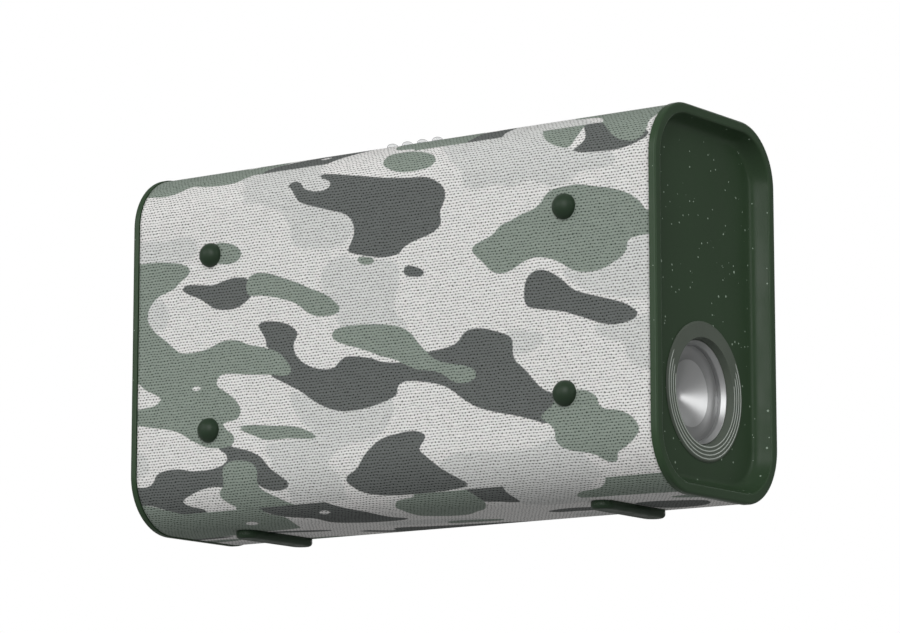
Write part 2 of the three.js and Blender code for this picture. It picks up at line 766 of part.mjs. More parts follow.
function portDoor() {
  const outline = roundedOutline(DOOR_WIDTH, DOOR_HEIGHT, 4, 5).map(([y, z]) => [y, z + PORT_Z]);
  const plate = extrudedX(outline, [], DOOR_OUTSIDE, DOOR_INSIDE);
  const webCorner = [HINGE_X + 0.6, DOOR_WIDTH / 2 - 1];
  const barrel = knuckle(PORT_Z - DOOR_BARREL_HALF, PORT_Z + DOOR_BARREL_HALF, webCorner);
  return cut(join(plate, barrel), [pinBore()]);
}

function portDoorSeal() {
  const front = DOOR_INSIDE + TOUCH;
  return extrudedX(portOutline(-0.4), [portOutline(-1.6)], front, front + 1.6);
}

function hingePin() {
  const half = DOOR_BARREL_HALF + LUG_LENGTH;
  return rod('z', PIN_RADIUS, PORT_Z - half, PORT_Z + half, [HINGE_X, HINGE_Y, 0]);
}

const SOCKET_MOUTH = -DISH_BACK_X + TOUCH * 2;
const USB_Z = PORT_Z + 6;
const AUDIO_Z = PORT_Z - 6;
const AUDIO_Y = -1.3;
const SOCKET_SEAT_Y = 1.7;

function slotOutline(width, height, z) {
  return roundedOutline(width, height, width / 2 - 0.01, 4).map(([y, dz]) => [y, z + dz]);
}

function portPlate() {
  const outline = portOutline(2);
  const plate = extrudedX(outline, [], SOCKET_MOUTH, SOCKET_MOUTH + 1.2);
  const usb = extrudedX(slotOutline(3.8, 9.4, USB_Z), [], SOCKET_MOUTH - 1, SOCKET_MOUTH + 3);
  const audio = rod('x', 3.2, SOCKET_MOUTH - 1, SOCKET_MOUTH + 3, [0, AUDIO_Y, AUDIO_Z]);
  return cut(plate, [usb, audio]);
}

function usbSocket() {
  const shell = extrudedX(slotOutline(3.4, 9, USB_Z), [], SOCKET_MOUTH, SOCKET_MOUTH + 7.5);
  const cavity = extrudedX(slotOutline(2.6, 8.3, USB_Z), [], SOCKET_MOUTH - 1, SOCKET_MOUTH + 6.5);
  const tongue = box([SOCKET_MOUTH + 1, -0.35, USB_Z - 3.3], [SOCKET_MOUTH + 7, 0.35, USB_Z + 3.3]);
  return join(cut(shell, [cavity]), [tongue]);
}

function audioSocket() {
  const back = SOCKET_MOUTH + 12;
  const body = box([SOCKET_MOUTH + 1.5, AUDIO_Y - 3, AUDIO_Z - 3.5], [back, SOCKET_SEAT_Y, AUDIO_Z + 3.5]);
  const collar = rod('x', 2.9, SOCKET_MOUTH, SOCKET_MOUTH + 2, [0, AUDIO_Y, AUDIO_Z]);
  return cut(join(body, [collar]), [rod('x', 1.8, SOCKET_MOUTH - 1, back - 2, [0, AUDIO_Y, AUDIO_Z])]);
}

function portBoard() {
  return box(
    [SOCKET_MOUTH + 1.4, SOCKET_SEAT_Y + TOUCH, PORT_Z - 13],
    [SOCKET_MOUTH + 14, SOCKET_SEAT_Y + TOUCH + 1.2, PORT_Z + 13],
  );
}

// The main board's larger parts: x, z, width, height and how far each one rises.
const BOARD_PARTS = [
  [-30, 60, 9, 9, 1.2],
  [6, 58, 14, 14, 1.4],
  [28, 70, 8, 8, 5],
  [-12, 78, 16, 6, 1.6],
  [-40, 74, 6, 10, 6],
  [28, 48, 12, 6, 4],
];

function mainBoard() {
  const { halfLength, low, high } = MAIN_BOARD;
  const plate = box([-halfLength, MAIN_BOARD_Y, low], [halfLength, MAIN_BOARD_Y + BOARD, high]);
  const chips = BOARD_PARTS.map(([x, z, width, height, rise]) =>
    box([x, MAIN_BOARD_Y - rise, z], [x + width, MAIN_BOARD_Y + BOARD / 2, z + height]),
  );
  return join(plate, chips);
}

add('port_door', portDoor(), RUBBER_GREEN, PLASTIC);
add('port_door_seal', portDoorSeal(), BLACK, RUBBER);
add('port_door_pin', hingePin(), SILVER, METAL);
add('port_plate', portPlate(), BLACK, PLASTIC);
add('usb_socket', usbSocket(), SILVER, METAL);
add('audio_socket', audioSocket(), BLACK, PLASTIC);
add('port_board', portBoard(), BOARD_GREEN, PLASTIC);
add('main_board', mainBoard(), BOARD_GREEN, PLASTIC);

// ---- Battery ---------------------------------------------------------------------------------

function cell(from) {
  const to = from + CELL_LENGTH;
  const profile = [
    [0, from],
    [CELL_RADIUS, from],
    [CELL_RADIUS, to - 1],
    [CELL_RADIUS - 1, to - 1],
    [CELL_RADIUS - 1, to - 0.6],
    [3, to - 0.6],
    [3, to],
    [0, to],
  ];
  return turned('x', profile, [0, CELL_Y, CELL_Z]);
}

// A cradle under both cells, with saddles that rest on the housing and a wall at each end.
function batteryTray() {
  const inside = CELL_RADIUS + GAP;
  const reach = CELL_LENGTH + 5;
  const middle = [CELL_Y, CELL_Z];
  const trough = (outer, inner) => [
    ...arc(middle, outer, outer, 180, 360, 10),
    ...arc(middle, inner, inner, 360, 180, 10),
  ];
  const floorRadius = CORNER - HOUSING_INSIDE - TOUCH;
  const cradle = extrudedX(trough(inside + 1.1, inside), [], -reach, reach);
  const saddles = [-34, 34].map((x) => extrudedX(trough(floorRadius, inside), [], x - 1.5, x + 1.5));
  const end = arc(middle, inside + 0.5, inside + 0.5, 180, 360, 10);
  const ends = [-reach, reach - 1.5].map((x) => extrudedX(end, [], x, x + 1.5));
  return join(cradle, [...saddles, ...ends]);
}

add('battery_cell_left', cell(-CELL_LENGTH - CELL_SPACING / 2), CELL_BLUE, PLASTIC);
add('battery_cell_right', cell(CELL_SPACING / 2), CELL_BLUE, PLASTIC);
add('battery_tray', batteryTray(), BLACK, PLASTIC);

// The standing surface is under the feet, and the studs stand proud of the face only.
const foremost = FACE_Y - STUD_HEIGHT;
const rearmost = DEPTH / 2;
group.position.set(0, -(foremost + rearmost) / 2, FOOT_HEIGHT);

export default group;
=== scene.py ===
"""Looks of a portable outdoor loudspeaker in a woven camouflage sleeve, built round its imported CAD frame.

Metres, in the row frame: +X towards the right cap, -Y out of the studded face, +Z up, the floor at Z = 0.
Outlines, radii and distances are written in millimetres and turned into metres where a mesh is made.
"""

import json
import math

import bmesh
import bpy
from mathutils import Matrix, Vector


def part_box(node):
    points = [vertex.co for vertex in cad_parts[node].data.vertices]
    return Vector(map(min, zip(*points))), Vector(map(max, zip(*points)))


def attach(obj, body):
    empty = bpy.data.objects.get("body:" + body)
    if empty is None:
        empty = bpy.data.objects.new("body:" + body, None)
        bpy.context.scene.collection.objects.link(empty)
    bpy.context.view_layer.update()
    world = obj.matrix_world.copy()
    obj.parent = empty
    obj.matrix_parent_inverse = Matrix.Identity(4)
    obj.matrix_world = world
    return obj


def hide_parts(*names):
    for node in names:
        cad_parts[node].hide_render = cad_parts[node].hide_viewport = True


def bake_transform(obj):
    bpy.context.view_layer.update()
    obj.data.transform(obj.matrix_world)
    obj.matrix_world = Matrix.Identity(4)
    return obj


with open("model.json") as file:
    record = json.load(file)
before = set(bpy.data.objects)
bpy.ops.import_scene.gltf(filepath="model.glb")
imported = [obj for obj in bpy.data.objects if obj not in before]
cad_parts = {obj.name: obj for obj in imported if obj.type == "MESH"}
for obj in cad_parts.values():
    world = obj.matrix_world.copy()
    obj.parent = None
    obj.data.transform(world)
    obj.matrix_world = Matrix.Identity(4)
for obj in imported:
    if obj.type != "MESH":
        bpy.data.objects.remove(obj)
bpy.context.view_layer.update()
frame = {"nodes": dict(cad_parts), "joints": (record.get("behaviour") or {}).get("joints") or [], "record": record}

MM = 0.001
ROOT = "loudspeaker_body"
ENDS = {"right": 1, "left": -1}
KEYS = ["pairing", "volume_down", "play", "volume_up", "power"]
WHITE = (1, 1, 1, 1)
FINISHES = {}


def box_mm(node):
    """A CAD node's lowest and highest corners and its middle, in millimetres."""
    low, high = (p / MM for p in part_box(node))
    return low, high, (low + high) / 2


# ---- Camera and lights -------------------------------------------------------------------------


def aimed(data, name, location, target):
    obj = bpy.data.objects.new(name, data)
    bpy.context.scene.collection.objects.link(obj)
    obj.location = location
    obj.rotation_mode = "QUATERNION"
    obj.rotation_quaternion = (Vector(target) - Vector(location)).to_track_quat("-Z", "Y")
    return obj


EYE = (0.6147, -0.85305, -0.11958)
LOOKED_AT = (0.001492, 0.001349, 0.059841)
camera = bpy.data.cameras.new("camera")
camera.lens = 152
camera.sensor_width = 36
camera.clip_start = 0.05
camera.clip_end = 30
bpy.context.scene.camera = aimed(camera, "camera", EYE, LOOKED_AT)
bpy.context.scene.view_settings.view_transform = "Standard"
bpy.context.scene.view_settings.look = "None"


def softbox(name, location, size, watts, height=None):
    light = bpy.data.lights.new(name, "AREA")
    light.energy = watts
    light.size = size
    if height:
        light.shape = "RECTANGLE"
        light.size_y = height
    aimed(light, name, location, (0, 0, 0.055))


softbox("front_softbox", (0.5, -1.45, 0.62), 1.1, 15)
softbox("left_softbox", (-0.9, -1.2, 0.6), 0.8, 5.0)
softbox("top_softbox", (0.1, 0.3, 1.4), 1.0, 1)
softbox("right_softbox", (1.25, 0.05, 0.48), 0.65, 2.8)
softbox("back_softbox", (-0.3, 1.35, 0.5), 1.0, 5)

# ---- Node helpers, floor and world -------------------------------------------------------------


class Nodes:
    """A node tree with short calls for the nodes used here. A value may be a socket or a number."""

    def __init__(self, owner, output="OutputMaterial"):
        owner.use_nodes = True
        self.owner = owner
        self.tree = owner.node_tree
        self.tree.nodes.clear()
        self.output = self.new(output)

    def new(self, kind, inputs=None, **settings):
        node = self.tree.nodes.new("ShaderNode" + kind)
        for key, value in settings.items():
            setattr(node, key, value)
        for key, value in (inputs or {}).items():
            self.put(node.inputs[key], value)
        return node

    def put(self, socket, value):
        if isinstance(value, bpy.types.NodeSocket):
            self.tree.links.new(value, socket)
        else:
            socket.default_value = value

    def math(self, operation, *values):
        return self.new("Math", dict(enumerate(values)), operation=operation).outputs[0]

    def plus(self, a, b):
        return self.math("ADD", a, b)

    def minus(self, a, b):
        return self.math("SUBTRACT", a, b)

    def times(self, a, b):
        return self.math("MULTIPLY", a, b)

    def hypot(self, a, b):
        return self.math("SQRT", self.plus(self.times(a, a), self.times(b, b)))

    def smooth(self, value, low, high, to_low=0.0, to_high=1.0, way="SMOOTHSTEP"):
        inputs = {"Value": value, "From Min": low, "From Max": high, "To Min": to_low, "To Max": to_high}
        return self.new("MapRange", inputs, interpolation_type=way).outputs[0]

    def place(self):
        """The row frame's coordinates, carried along with the body the piece rides on."""
        return self.new("TexCoord").outputs["Object"]

    def field(self, name, output="Fac"):
        return self.new("Attribute", attribute_name=name).outputs[output]

    def split(self, vector):
        return self.new("SeparateXYZ", {0: vector}).outputs

    def vector(self, *values):
        return self.new("CombineXYZ", dict(enumerate(values))).outputs[0]

    def noise(self, vector, scale, detail=2.0):
        return self.new("TexNoise", {"Vector": vector, "Scale": scale, "Detail": detail}).outputs["Fac"]

    def wander(self, vector, scale, detail=2.0):
        """Noise that goes as far below zero as above."""
        return self.minus(self.noise(vector, scale, detail), 0.5)

    def stretched(self, vector, scale):
        return self.new("Mapping", {"Vector": vector, "Scale": scale}).outputs[0]

    def cells(self, vector, scale):
        node = self.new("TexVoronoi", {"Vector": vector, "Scale": scale})
        return node.outputs["Distance"], self.split(node.outputs["Color"])

    def mix(self, factor, a, b, way="MIX"):
        return self.new("Mix", {"Factor": factor, 6: a, 7: b}, data_type="RGBA", blend_type=way).outputs[2]

    def bump(self, height, strength, distance_mm):
        inputs = {"Height": height, "Strength": strength, "Distance": distance_mm * MM}
        return self.new("Bump", inputs).outputs[0]

    def surface(self, **sockets):
        inputs = {key.replace("_", " "): value for key, value in sockets.items()}
        return self.new("BsdfPrincipled", inputs).outputs[0]

    def clear(self):
        return self.new("BsdfTransparent").outputs[0]

    def either(self, factor, a, b):
        return self.new("MixShader", {0: factor, 1: a, 2: b}).outputs[0]

    def show(self, shader):
        self.put(self.output.inputs["Surface"], shader)
        return self.owner

    def finish(self, **sockets):
        return self.show(self.surface(**sockets))


def new_material(name):
    FINISHES[name] = bpy.data.materials.new(name)
    return Nodes(FINISHES[name])


def srgb(*channels):
    """A colour given as the eye's 0 to 255 numbers, as the renderer's linear ones."""
    return tuple(((c / 255 + 0.055) / 1.055) ** 2.4 if c > 10 else c / 3295 for c in channels) + (1.0,)


def floor_material():
    """A pale floor that only the camera sees, and only from above, so that light comes from all round."""
    m = new_material("floor")
    place = m.place()
    pale = m.mix(m.noise(place, 900, 3), srgb(226, 226, 224), srgb(234, 234, 232))
    across, back, _ = m.split(place)
    backdrop = m.new("Emission", {"Color": WHITE}).outputs[0]
    fading = m.smooth(m.hypot(across, back), 0.35, 1.5)
    shown = m.either(fading, m.surface(Base_Color=pale, Roughness=0.8), backdrop)
    seen = m.new("LightPath").outputs["Is Camera Ray"]
    above = m.minus(1.0, m.new("NewGeometry").outputs["Backfacing"])
    return m.show(m.either(m.times(seen, above), m.clear(), shown))


def make_floor():
    reach = 4
    corners = [(-reach, -reach, 0), (reach, -reach, 0), (reach, reach, 0), (-reach, reach, 0)]
    mesh = bpy.data.meshes.new("floor")
    mesh.from_pydata(corners, [], [(0, 1, 2, 3)])
    mesh.materials.append(floor_material())
    obj = bpy.data.objects.new("floor", mesh)
    bpy.context.scene.collection.objects.link(obj)


def make_world():
    """White behind the object. For its light, a little dimmer overhead than near the ground."""
    world = bpy.data.worlds.new("studio")
    bpy.context.scene.world = world
    w = Nodes(world, "OutputWorld")
    height = w.split(w.new("TexCoord").outputs["Generated"])[2]
    lit = w.new("Background", {"Strength": w.smooth(height, -0.6, 0.8, 0.34, 0.3, "LINEAR")}).outputs[0]
    behind = w.new("Background", {"Color": WHITE}).outputs[0]
    path = w.new("LightPath").outputs
    straight = w.math("MAXIMUM", path["Is Camera Ray"], path["Is Transmission Ray"])
    w.show(w.either(straight, lit, behind))


make_floor()
make_world()

# ---- Mesh helpers ------------------------------------------------------------------------------


def piece(name, shape, finish, body=ROOT, replaces=(), outward=True):
    """A mesh from (points, faces) in millimetres, on a body and in place of the CAD nodes named.

    The finish is the name of a material made in this script.
    """
    points, faces = shape
    mesh = bpy.data.meshes.new(name)
    mesh.from_pydata([Vector(p) * MM for p in points], [], faces)
    if outward:
        bm = bmesh.new()
        bm.from_mesh(mesh)
        bmesh.ops.recalc_face_normals(bm, faces=bm.faces)
        bm.to_mesh(mesh)
        bm.free()
    mesh.shade_smooth()
    mesh.materials.append(FINISHES[finish])
    obj = bpy.data.objects.new(name, mesh)
    bpy.context.scene.collection.objects.link(obj)
    if body:
        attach(obj, body)
    if replaces:
        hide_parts(*replaces)
    return obj


def arc(u, v, ru, rv, start, end, steps):
    """Points of an arc of an ellipse, from one angle to another in degrees."""
    angles = [math.radians(start + (end - start) * k / steps) for k in range(steps + 1)]
    return [(u + ru * math.cos(a), v + rv * math.sin(a)) for a in angles]


def curve(a, b, c, d, steps):
    """Points of a cubic curve from a to d, leaving towards b and arriving from c."""
    a, b, c, d = (Vector(p) for p in (a, b, c, d))
    result = []
    for k in range(steps + 1):
        t = k / steps
        s = 1 - t
        result.append(tuple(s ** 3 * a + 3 * s ** 2 * t * b + 3 * s * t * t * c + t ** 3 * d))
    return result


def supported(profile, closed=True, near=0.06):
    """Adds a point close to each end of every straight run, so that smooth shading keeps it flat."""
    result = []
    count = len(profile)
    for k in range(count if closed else count - 1):
        a, b = Vector(profile[k]), Vector(profile[(k + 1) % count])
        result.append(tuple(a))
        length = (b - a).length
        if length > 6 * near:
            result += [tuple(a.lerp(b, near / length)), tuple(b.lerp(a, near / length))]
    if not closed:
        result.append(tuple(profile[-1]))
    return result


def turned(profile, axis, at, steps=96):
    """A closed profile of (radius, distance along) turned about an axis through a point."""
    points, rings = [], []
    for radius, along in supported(profile):
        ring = []
        for k in range(1 if radius < 1e-6 else steps):
            a = 2 * math.pi * k / steps
            u, v = radius * math.cos(a), radius * math.sin(a)
            local = {"x": (along, u, v), "y": (u, along, v), "z": (u, v, along)}[axis]
            ring.append(len(points))
            points.append(Vector(at) + Vector(local))
        rings.append(ring)
    faces = []
    for k, a in enumerate(rings):
        b = rings[(k + 1) % len(rings)]
        if len(a) == len(b) == 1:
            continue
        for i in range(steps):
            j = (i + 1) % steps
            corners = [a[i % len(a)], a[j % len(a)], b[j % len(b)], b[i % len(b)]]
            faces.append(list(dict.fromkeys(corners)))
    return points, faces


def joined(*parts):
    """Puts several (points, faces) pairs in one."""
    points, faces = [], []
    for more_points, more_faces in parts:
        base = len(points)
        points += [Vector(p) for p in more_points]
        faces += [[base + k for k in face] for face in more_faces]
    return points, faces


def flipped(shape):
    """The mirror image of (points, faces) across X = 0."""
    points, faces = shape
    return [Vector((-p[0], p[1], p[2])) for p in points], [list(reversed(face)) for face in faces]


def skinned(rings, closed=False):
    """Faces between rings of the same number of points, with both ends closed or left open."""
    count = len(rings[0])
    points = [Vector(p) for ring in rings for p in ring]
    faces = []
    for r in range(len(rings) - 1):
        for k in range(count):
            j = (k + 1) % count
            faces.append([r * count + k, r * count + j, (r + 1) * count + j, (r + 1) * count + k])
    if closed:
        faces.append(list(reversed(range(count))))
        faces.append(list(range((len(rings) - 1) * count, len(rings) * count)))
    return points, faces


def rounded(width, height, radius, u=0.0, v=0.0, steps=20):
    """The outline of a rounded rectangle about (u, v), anticlockwise."""
    a, b = width / 2 - radius, height / 2 - radius
    result = []
    for cu, cv, start in ((a, -b, -90), (a, b, 0), (-a, b, 90), (-a, -b, 180)):
        result += arc(u + cu, v + cv, radius, radius, start, start + 90, steps)
    return result


def circle(radius, u, v, steps=96):
    return arc(u, v, radius, radius, 0, 360 * (steps - 1) / steps, steps - 1)


def lying(level, outline):
    """An outline of (X, Y) at a height."""
    return [(u, v, level) for u, v in outline]


def upright(level, outline):
    """An outline of (Y, Z) at a distance along X."""
    return [(level, u, v) for u, v in outline]


def layers(levels, width, depth, radius, middle, steps, way=lying):
    """Rings of rounded rectangles about a middle, one for each (level, inset)."""
    rings = []
    for level, inset in levels:
        corner = max(radius - inset, 0.02)
        rings.append(way(level, rounded(width - 2 * inset, depth - 2 * inset, corner, *middle, steps)))
    return rings


def flat_fill(loops):
    """A flat face inside the first loop of points, with the others as holes in it."""
    bm = bmesh.new()
    edges = []
    for loop in loops:
        corners = [bm.verts.new(p) for p in loop]
        edges += [bm.edges.new((corners[k - 1], corners[k])) for k in range(len(corners))]
    bmesh.ops.triangle_fill(bm, use_beauty=True, use_dissolve=False, edges=edges)
    bm.verts.index_update()
    points = [v.co.copy() for v in bm.verts]
    faces = [[v.index for v in face.verts] for face in bm.faces]
    bm.free()
    return points, faces


# ---- The sleeve and its print ------------------------------------------------------------------

sleeve_low, sleeve_high, sleeve_middle = box_mm("fabric_sleeve")
SLEEVE_RADIUS = 16.2
HALF_DEPTH = (sleeve_high.y - sleeve_low.y) / 2
HALF_HEIGHT = (sleeve_high.z - sleeve_low.z) / 2
HALF_LENGTH = sleeve_high.x
QUARTER = math.pi / 2 * SLEEVE_RADIUS
STRAIGHT_UP = 2 * (HALF_HEIGHT - SLEEVE_RADIUS)
STRAIGHT_BACK = 2 * (HALF_DEPTH - SLEEVE_RADIUS)
PERIMETER = 2 * (STRAIGHT_UP + STRAIGHT_BACK) + 4 * QUARTER
SEAM = 49.2  # how far the face's print goes up and down from its middle
SIDE_PANEL = PERIMETER / 2 - 2 * SEAM
FABRIC_STEP = 1.0
HEM = 0.8  # how far the fabric turns in under each cap
LENS_HOLE = 1.0
KEY_SLOT_TUCK = 0.7  # how far the fabric runs in under the bezel
THREAD_PITCH = 1.18
ROW_PITCH = PERIMETER / 370

# Print outlines on the face: (x, height above the middle), in millimetres. The points were read off a
# flattened view of the photo.
FACE_CHARCOAL = [
    [(-34, 42.5), (-31.5, 43.5), (-29, 42.2), (-27.5, 40.5), (-24, 39.3), (-20.5, 39.2), (-18.6, 40.1),
     (-18.9, 41.6), (-21, 42.7), (-23.2, 43.8), (-21, 44.6), (-10, 42.4), (0, 40.4), (8, 39.3),
     (14.5, 38.7), (18.5, 37), (21.2, 34.5), (21.3, 31.5), (19.8, 28.5), (20, 24.8), (16.5, 22.5),
     (11.5, 21.3), (7.5, 19.8), (5.5, 18.1), (0, 17.8), (-7, 19.2), (-11.6, 20.8), (-10.4, 23.5),
     (-9.6, 26), (-10.3, 29.2), (-13, 31.5), (-18, 33.1), (-28, 36.3), (-30.5, 38.7), (-32.4, 41)],
    [(7.4, 13.3), (8.6, 14.6), (11.4, 14), (14.2, 12.6), (13.8, 11.1), (10.4, 11.3), (8.2, 12)],
    [(47.5, 2), (47.8, 5.5), (49, 7.5), (51.2, 8.7), (54.4, 8.4), (57.5, 6.9), (60.3, 4.9), (63, 2.6),
     (66.2, 1.2), (74.4, -1.3), (79, -2.8), (82, -4.5), (83.5, -6), (82.5, -7.4), (79.8, -8.1),
     (76.2, -8.4), (72, -7.6), (68, -6.1), (63.5, -4.5), (59.8, -3.3), (50.7, -1.5), (48.2, -0.4)],
    [(-43.3, 3.2), (-41.5, 3.9), (-37.5, 3.7), (-33, 2.5), (-29.9, 0.5), (-29.2, -1), (-30.4, -3),
     (-30.3, -5.4), (-28.5, -7.9), (-25.3, -10), (-20.8, -11.4), (-16.4, -11.4), (-14.1, -9.6),
     (-11.2, -8.7), (-4, -9.8), (0, -11.2), (7, -12), (11, -10.3), (16, -10), (21.2, -9.5), (25.3, -8.5),
     (27.4, -6.3), (29.5, -5.2), (33.5, -5.2), (38, -6.4), (42.2, -8), (43.7, -9.8), (43.8, -13),
     (45, -15.4), (48, -18), (50.8, -21.1), (54, -23.8), (58, -25.6), (59, -29), (54.8, -32.7),
     (50.3, -31.5), (44.4, -29.9), (38, -28.4), (32, -26.5), (28, -24.3), (24.4, -21.7), (20.7, -19.7),
     (15.3, -18.3), (9.8, -17.5), (6.6, -17.8), (5.4, -19.2), (5.4, -20.6), (2.8, -21.9), (-4, -23.5),
     (-10, -24), (-15.3, -23.5), (-20.3, -21.7), (-24, -19.7), (-28, -17), (-33, -14.5), (-39, -11),
     (-38, -6), (-40.3, -3), (-40.4, -1.5), (-41.6, 0.6)],
    [(-13.2, -42.7), (-11.6, -41.5), (-8.5, -39.9), (-5.8, -36.7), (-2.6, -34), (0.3, -32.5), (4.5, -31.7),
     (10.3, -31.2), (14, -32.1), (14.9, -33.5), (13.4, -35.4), (13.1, -36.8), (16.2, -39.5), (20, -42.6),
     (24, -45.4), (26.3, -47.5), (23, -48.6), (8, -49.4), (-4, -48.5), (-9, -47), (-12, -44.8)],
    [(62, 50.5), (63.8, 48.7), (64.8, 46.9), (66.2, 44.2), (65.7, 42.2), (63.4, 40.6), (63.6, 39.8),
     (67, 39), (71.6, 38.7), (76.6, 38.5), (80.7, 39), (84.4, 40.2), (86.6, 41.4), (86.5, 42.5), (82, 46),
     (76, 51)],
    [(-71.2, 16.3), (-69.3, 17.2), (-65.3, 16.9), (-60, 16.3), (-55.7, 17.1), (-51.6, 17.6), (-47.5, 16.9),
     (-45, 14), (-45.6, 12), (-47.5, 10.4), (-50.7, 8.9), (-54.8, 8.6), (-59, 9.4), (-62, 11.2),
     (-65.3, 13.1), (-69, 14.6)],
    [(-90, -39.9), (-83.8, -39.9), (-81, -38.6), (-79.8, -36.7), (-77, -35.7), (-71.6, -35.5), (-67, -36.4),
     (-61.6, -36.6), (-56.2, -35.8), (-54, -34.3), (-54.5, -32.6), (-57, -30.8), (-56, -29), (-51.6, -30.8),
     (-47, -32), (-42, -34.2), (-39, -37.4), (-35.4, -40.1), (-33, -42.3), (-34.2, -43.8), (-38, -44.3),
     (-41.8, -43.3), (-46, -41), (-54, -42), (-59, -41.5), (-64, -42), (-69, -43.5), (-71.9, -45),
     (-69.8, -46.7), (-65.7, -48.1), (-66, -50), (-76, -49), (-80, -46.9), (-84.4, -45.4), (-90, -45)],
]
FACE_SAGE = [
    [(30.3, 16.6), (32, 18.1), (35.3, 19.2), (38, 20.5), (39.8, 22.2), (43.5, 23.3), (47, 24.6),
     (50.7, 25.5), (53, 26.9), (54.5, 28.9), (57, 30.1), (60.7, 30.5), (65.3, 30.5), (69.8, 29.5),
     (75.3, 28.3), (80.7, 26.3), (84.4, 23.7), (86.4, 21.3), (90, 19.5), (90, 15), (85.7, 14.6), (82, 14.2),
     (80.4, 13), (80.3, 11.5), (79, 9.8), (76.2, 8.3), (72.5, 6.9), (68, 6.5), (63.5, 7.4), (59.8, 9.6),
     (57, 11), (53.5, 12), (50, 12.2), (46.2, 11), (43, 9.5), (39.8, 9), (37, 9.9), (34.4, 12.4),
     (32, 14.5)],
    [(-17.1, -2), (-15.3, -0.5), (-9.8, -0.2), (-3, -0.5), (1.6, -1.1), (6.2, -2.2), (9.8, -4.2),
     (12.5, -7.2), (15.3, -9.9), (18.5, -12.4), (24.4, -14.2), (28, -14.9), (31.2, -16.4), (31.6, -18.4),
     (28.5, -19.6), (24.4, -19), (21.2, -16.9), (17.5, -15.4), (12.5, -14.6), (8.5, -13), (4.4, -11),
     (-0.6, -9.6), (-2.5, -8.7), (-8, -6.7), (-13, -5.2), (-16.3, -3.6)],
    [(52.8, -31), (54.4, -29.3), (56.6, -28.1), (58, -25.4), (63.9, -24.7), (67.5, -25.2), (70.3, -26.9),
     (71.2, -29), (73, -30.4), (77, -31.1), (80.7, -32.6), (83, -34.9), (83.7, -36.9), (82, -39), (79, -41),
     (76.4, -42.2), (75.6, -44.3), (74, -44.9), (71.6, -44), (69.4, -42.4), (66.2, -41.5), (61.6, -40.5),
     (58.5, -39), (57.3, -36.8), (57.2, -34.9), (55.3, -33)],
    [(68.3, 50.5), (70.5, 48.2), (72, 46.5), (75, 43.3), (78, 41.4), (82, 40.4), (84.6, 41.3), (85.6, 43.5),
     (85.5, 46.5), (86, 50.5)],
    [(50.2, 50.5), (50.5, 49.2), (51.2, 47.4), (53.5, 44.6), (57, 42.4), (60.5, 41.3), (62, 41.6),
     (63, 43.7), (63.7, 45.6), (64, 47.4), (63.4, 50.5)],
    [(-90, 46), (-87, 45.8), (-80, 45.1), (-75.4, 45.8), (-72.5, 47.3), (-70, 47.7), (-66, 46.9),
     (-60, 46.3), (-54.8, 46.6), (-52.4, 47.8), (-51.2, 50.5), (-90, 50.5)],
    [(-64, 27), (-58.5, 28.2), (-55.3, 28), (-51.6, 26.7), (-49.6, 24.6), (-50.3, 22.8), (-53.5, 21.7),
     (-57.5, 22.2), (-63, 23.5)],
    [(-90, 25.2), (-81.6, 25.1), (-75.3, 24.4), (-70.7, 23.3), (-68.3, 21.6), (-69.3, 19.8), (-72, 18.3),
     (-74.4, 16.5), (-79.4, 15.1), (-81.8, 13.5), (-83.6, 11), (-83.5, 7.8), (-81.2, 4.9), (-77.5, 2.2),
     (-74.4, -0.2), (-71.2, -2.2), (-67, -2.5), (-61.6, -2), (-58, -0.8), (-54.8, -0.1), (-50.7, -0.5),
     (-46.2, -2.2), (-40.7, -3.5), (-35.7, -5.5), (-33, -8), (-31.4, -10.4), (-31.9, -11.8), (-34.4, -12),
     (-39, -11.3), (-45.3, -10.8), (-51.6, -10), (-55.3, -9.7), (-57.9, -10.9), (-57.6, -13), (-55, -14.7),
     (-52, -16.7), (-49.6, -19.5), (-49.4, -21.7), (-51.2, -23.1), (-55, -23.6), (-55.2, -24.9),
     (-52, -27.2), (-51.5, -29), (-53, -30.4), (-58, -30.6), (-62, -29.9), (-67, -27.7), (-70.7, -25.6),
     (-75.3, -24), (-81.6, -22.9), (-90, -21.2), (-100, -19), (-100, 25.3)],
    [(-47.7, 14.2), (-46.9, 16.9), (-44, 18.1), (-39.8, 17.6), (-35.3, 16), (-29.8, 14), (-24.8, 11.7),
     (-20.3, 9.9), (-17, 7.8), (-14.6, 5.5), (-14.9, 4), (-18, 3.3), (-23, 3.8), (-26.2, 5.3), (-28.5, 7.1),
     (-31.6, 8.7), (-36.6, 10.3), (-42.5, 11.5), (-46.5, 11.9)],
    [(-50.3, -25.2), (-45.3, -25), (-38, -25.8), (-31.2, -26.5), (-26.2, -27.9), (-22.3, -30),
     (-24.4, -30.6), (-31.6, -29.9), (-39.8, -29.7), (-44.4, -28.1), (-48.4, -26.5)],
    [(-55.6, -37), (-54, -35.2), (-50.5, -34.6), (-45.5, -35.6), (-43.3, -38), (-43.8, -41.3),
     (-42.6, -43.6), (-39.8, -45.4), (-37, -47.2), (-34, -50.5), (-53.5, -50.5), (-54, -48.4),
     (-56.2, -46.7), (-58, -44.5), (-57.8, -43), (-56.2, -41.7), (-55.6, -40)],
    [(-90, -45.3), (-84, -45.6), (-80, -47), (-75, -48.8), (-73, -51), (-90, -51)],
    [(-8.6, 18.6), (-4.5, 18.4), (-2.4, 17.5), (-3.6, 16.4), (-6.8, 16.6)],
    [(-1.7, 47), (-0.7, 48.7), (2.5, 49.3), (7, 48.9), (11.6, 47.6), (15.3, 45.8), (17, 43.7), (16.5, 42.2),
     (14.2, 41.3), (8.9, 41), (4.4, 41.6), (0.7, 43.3), (-1.4, 45)],
]
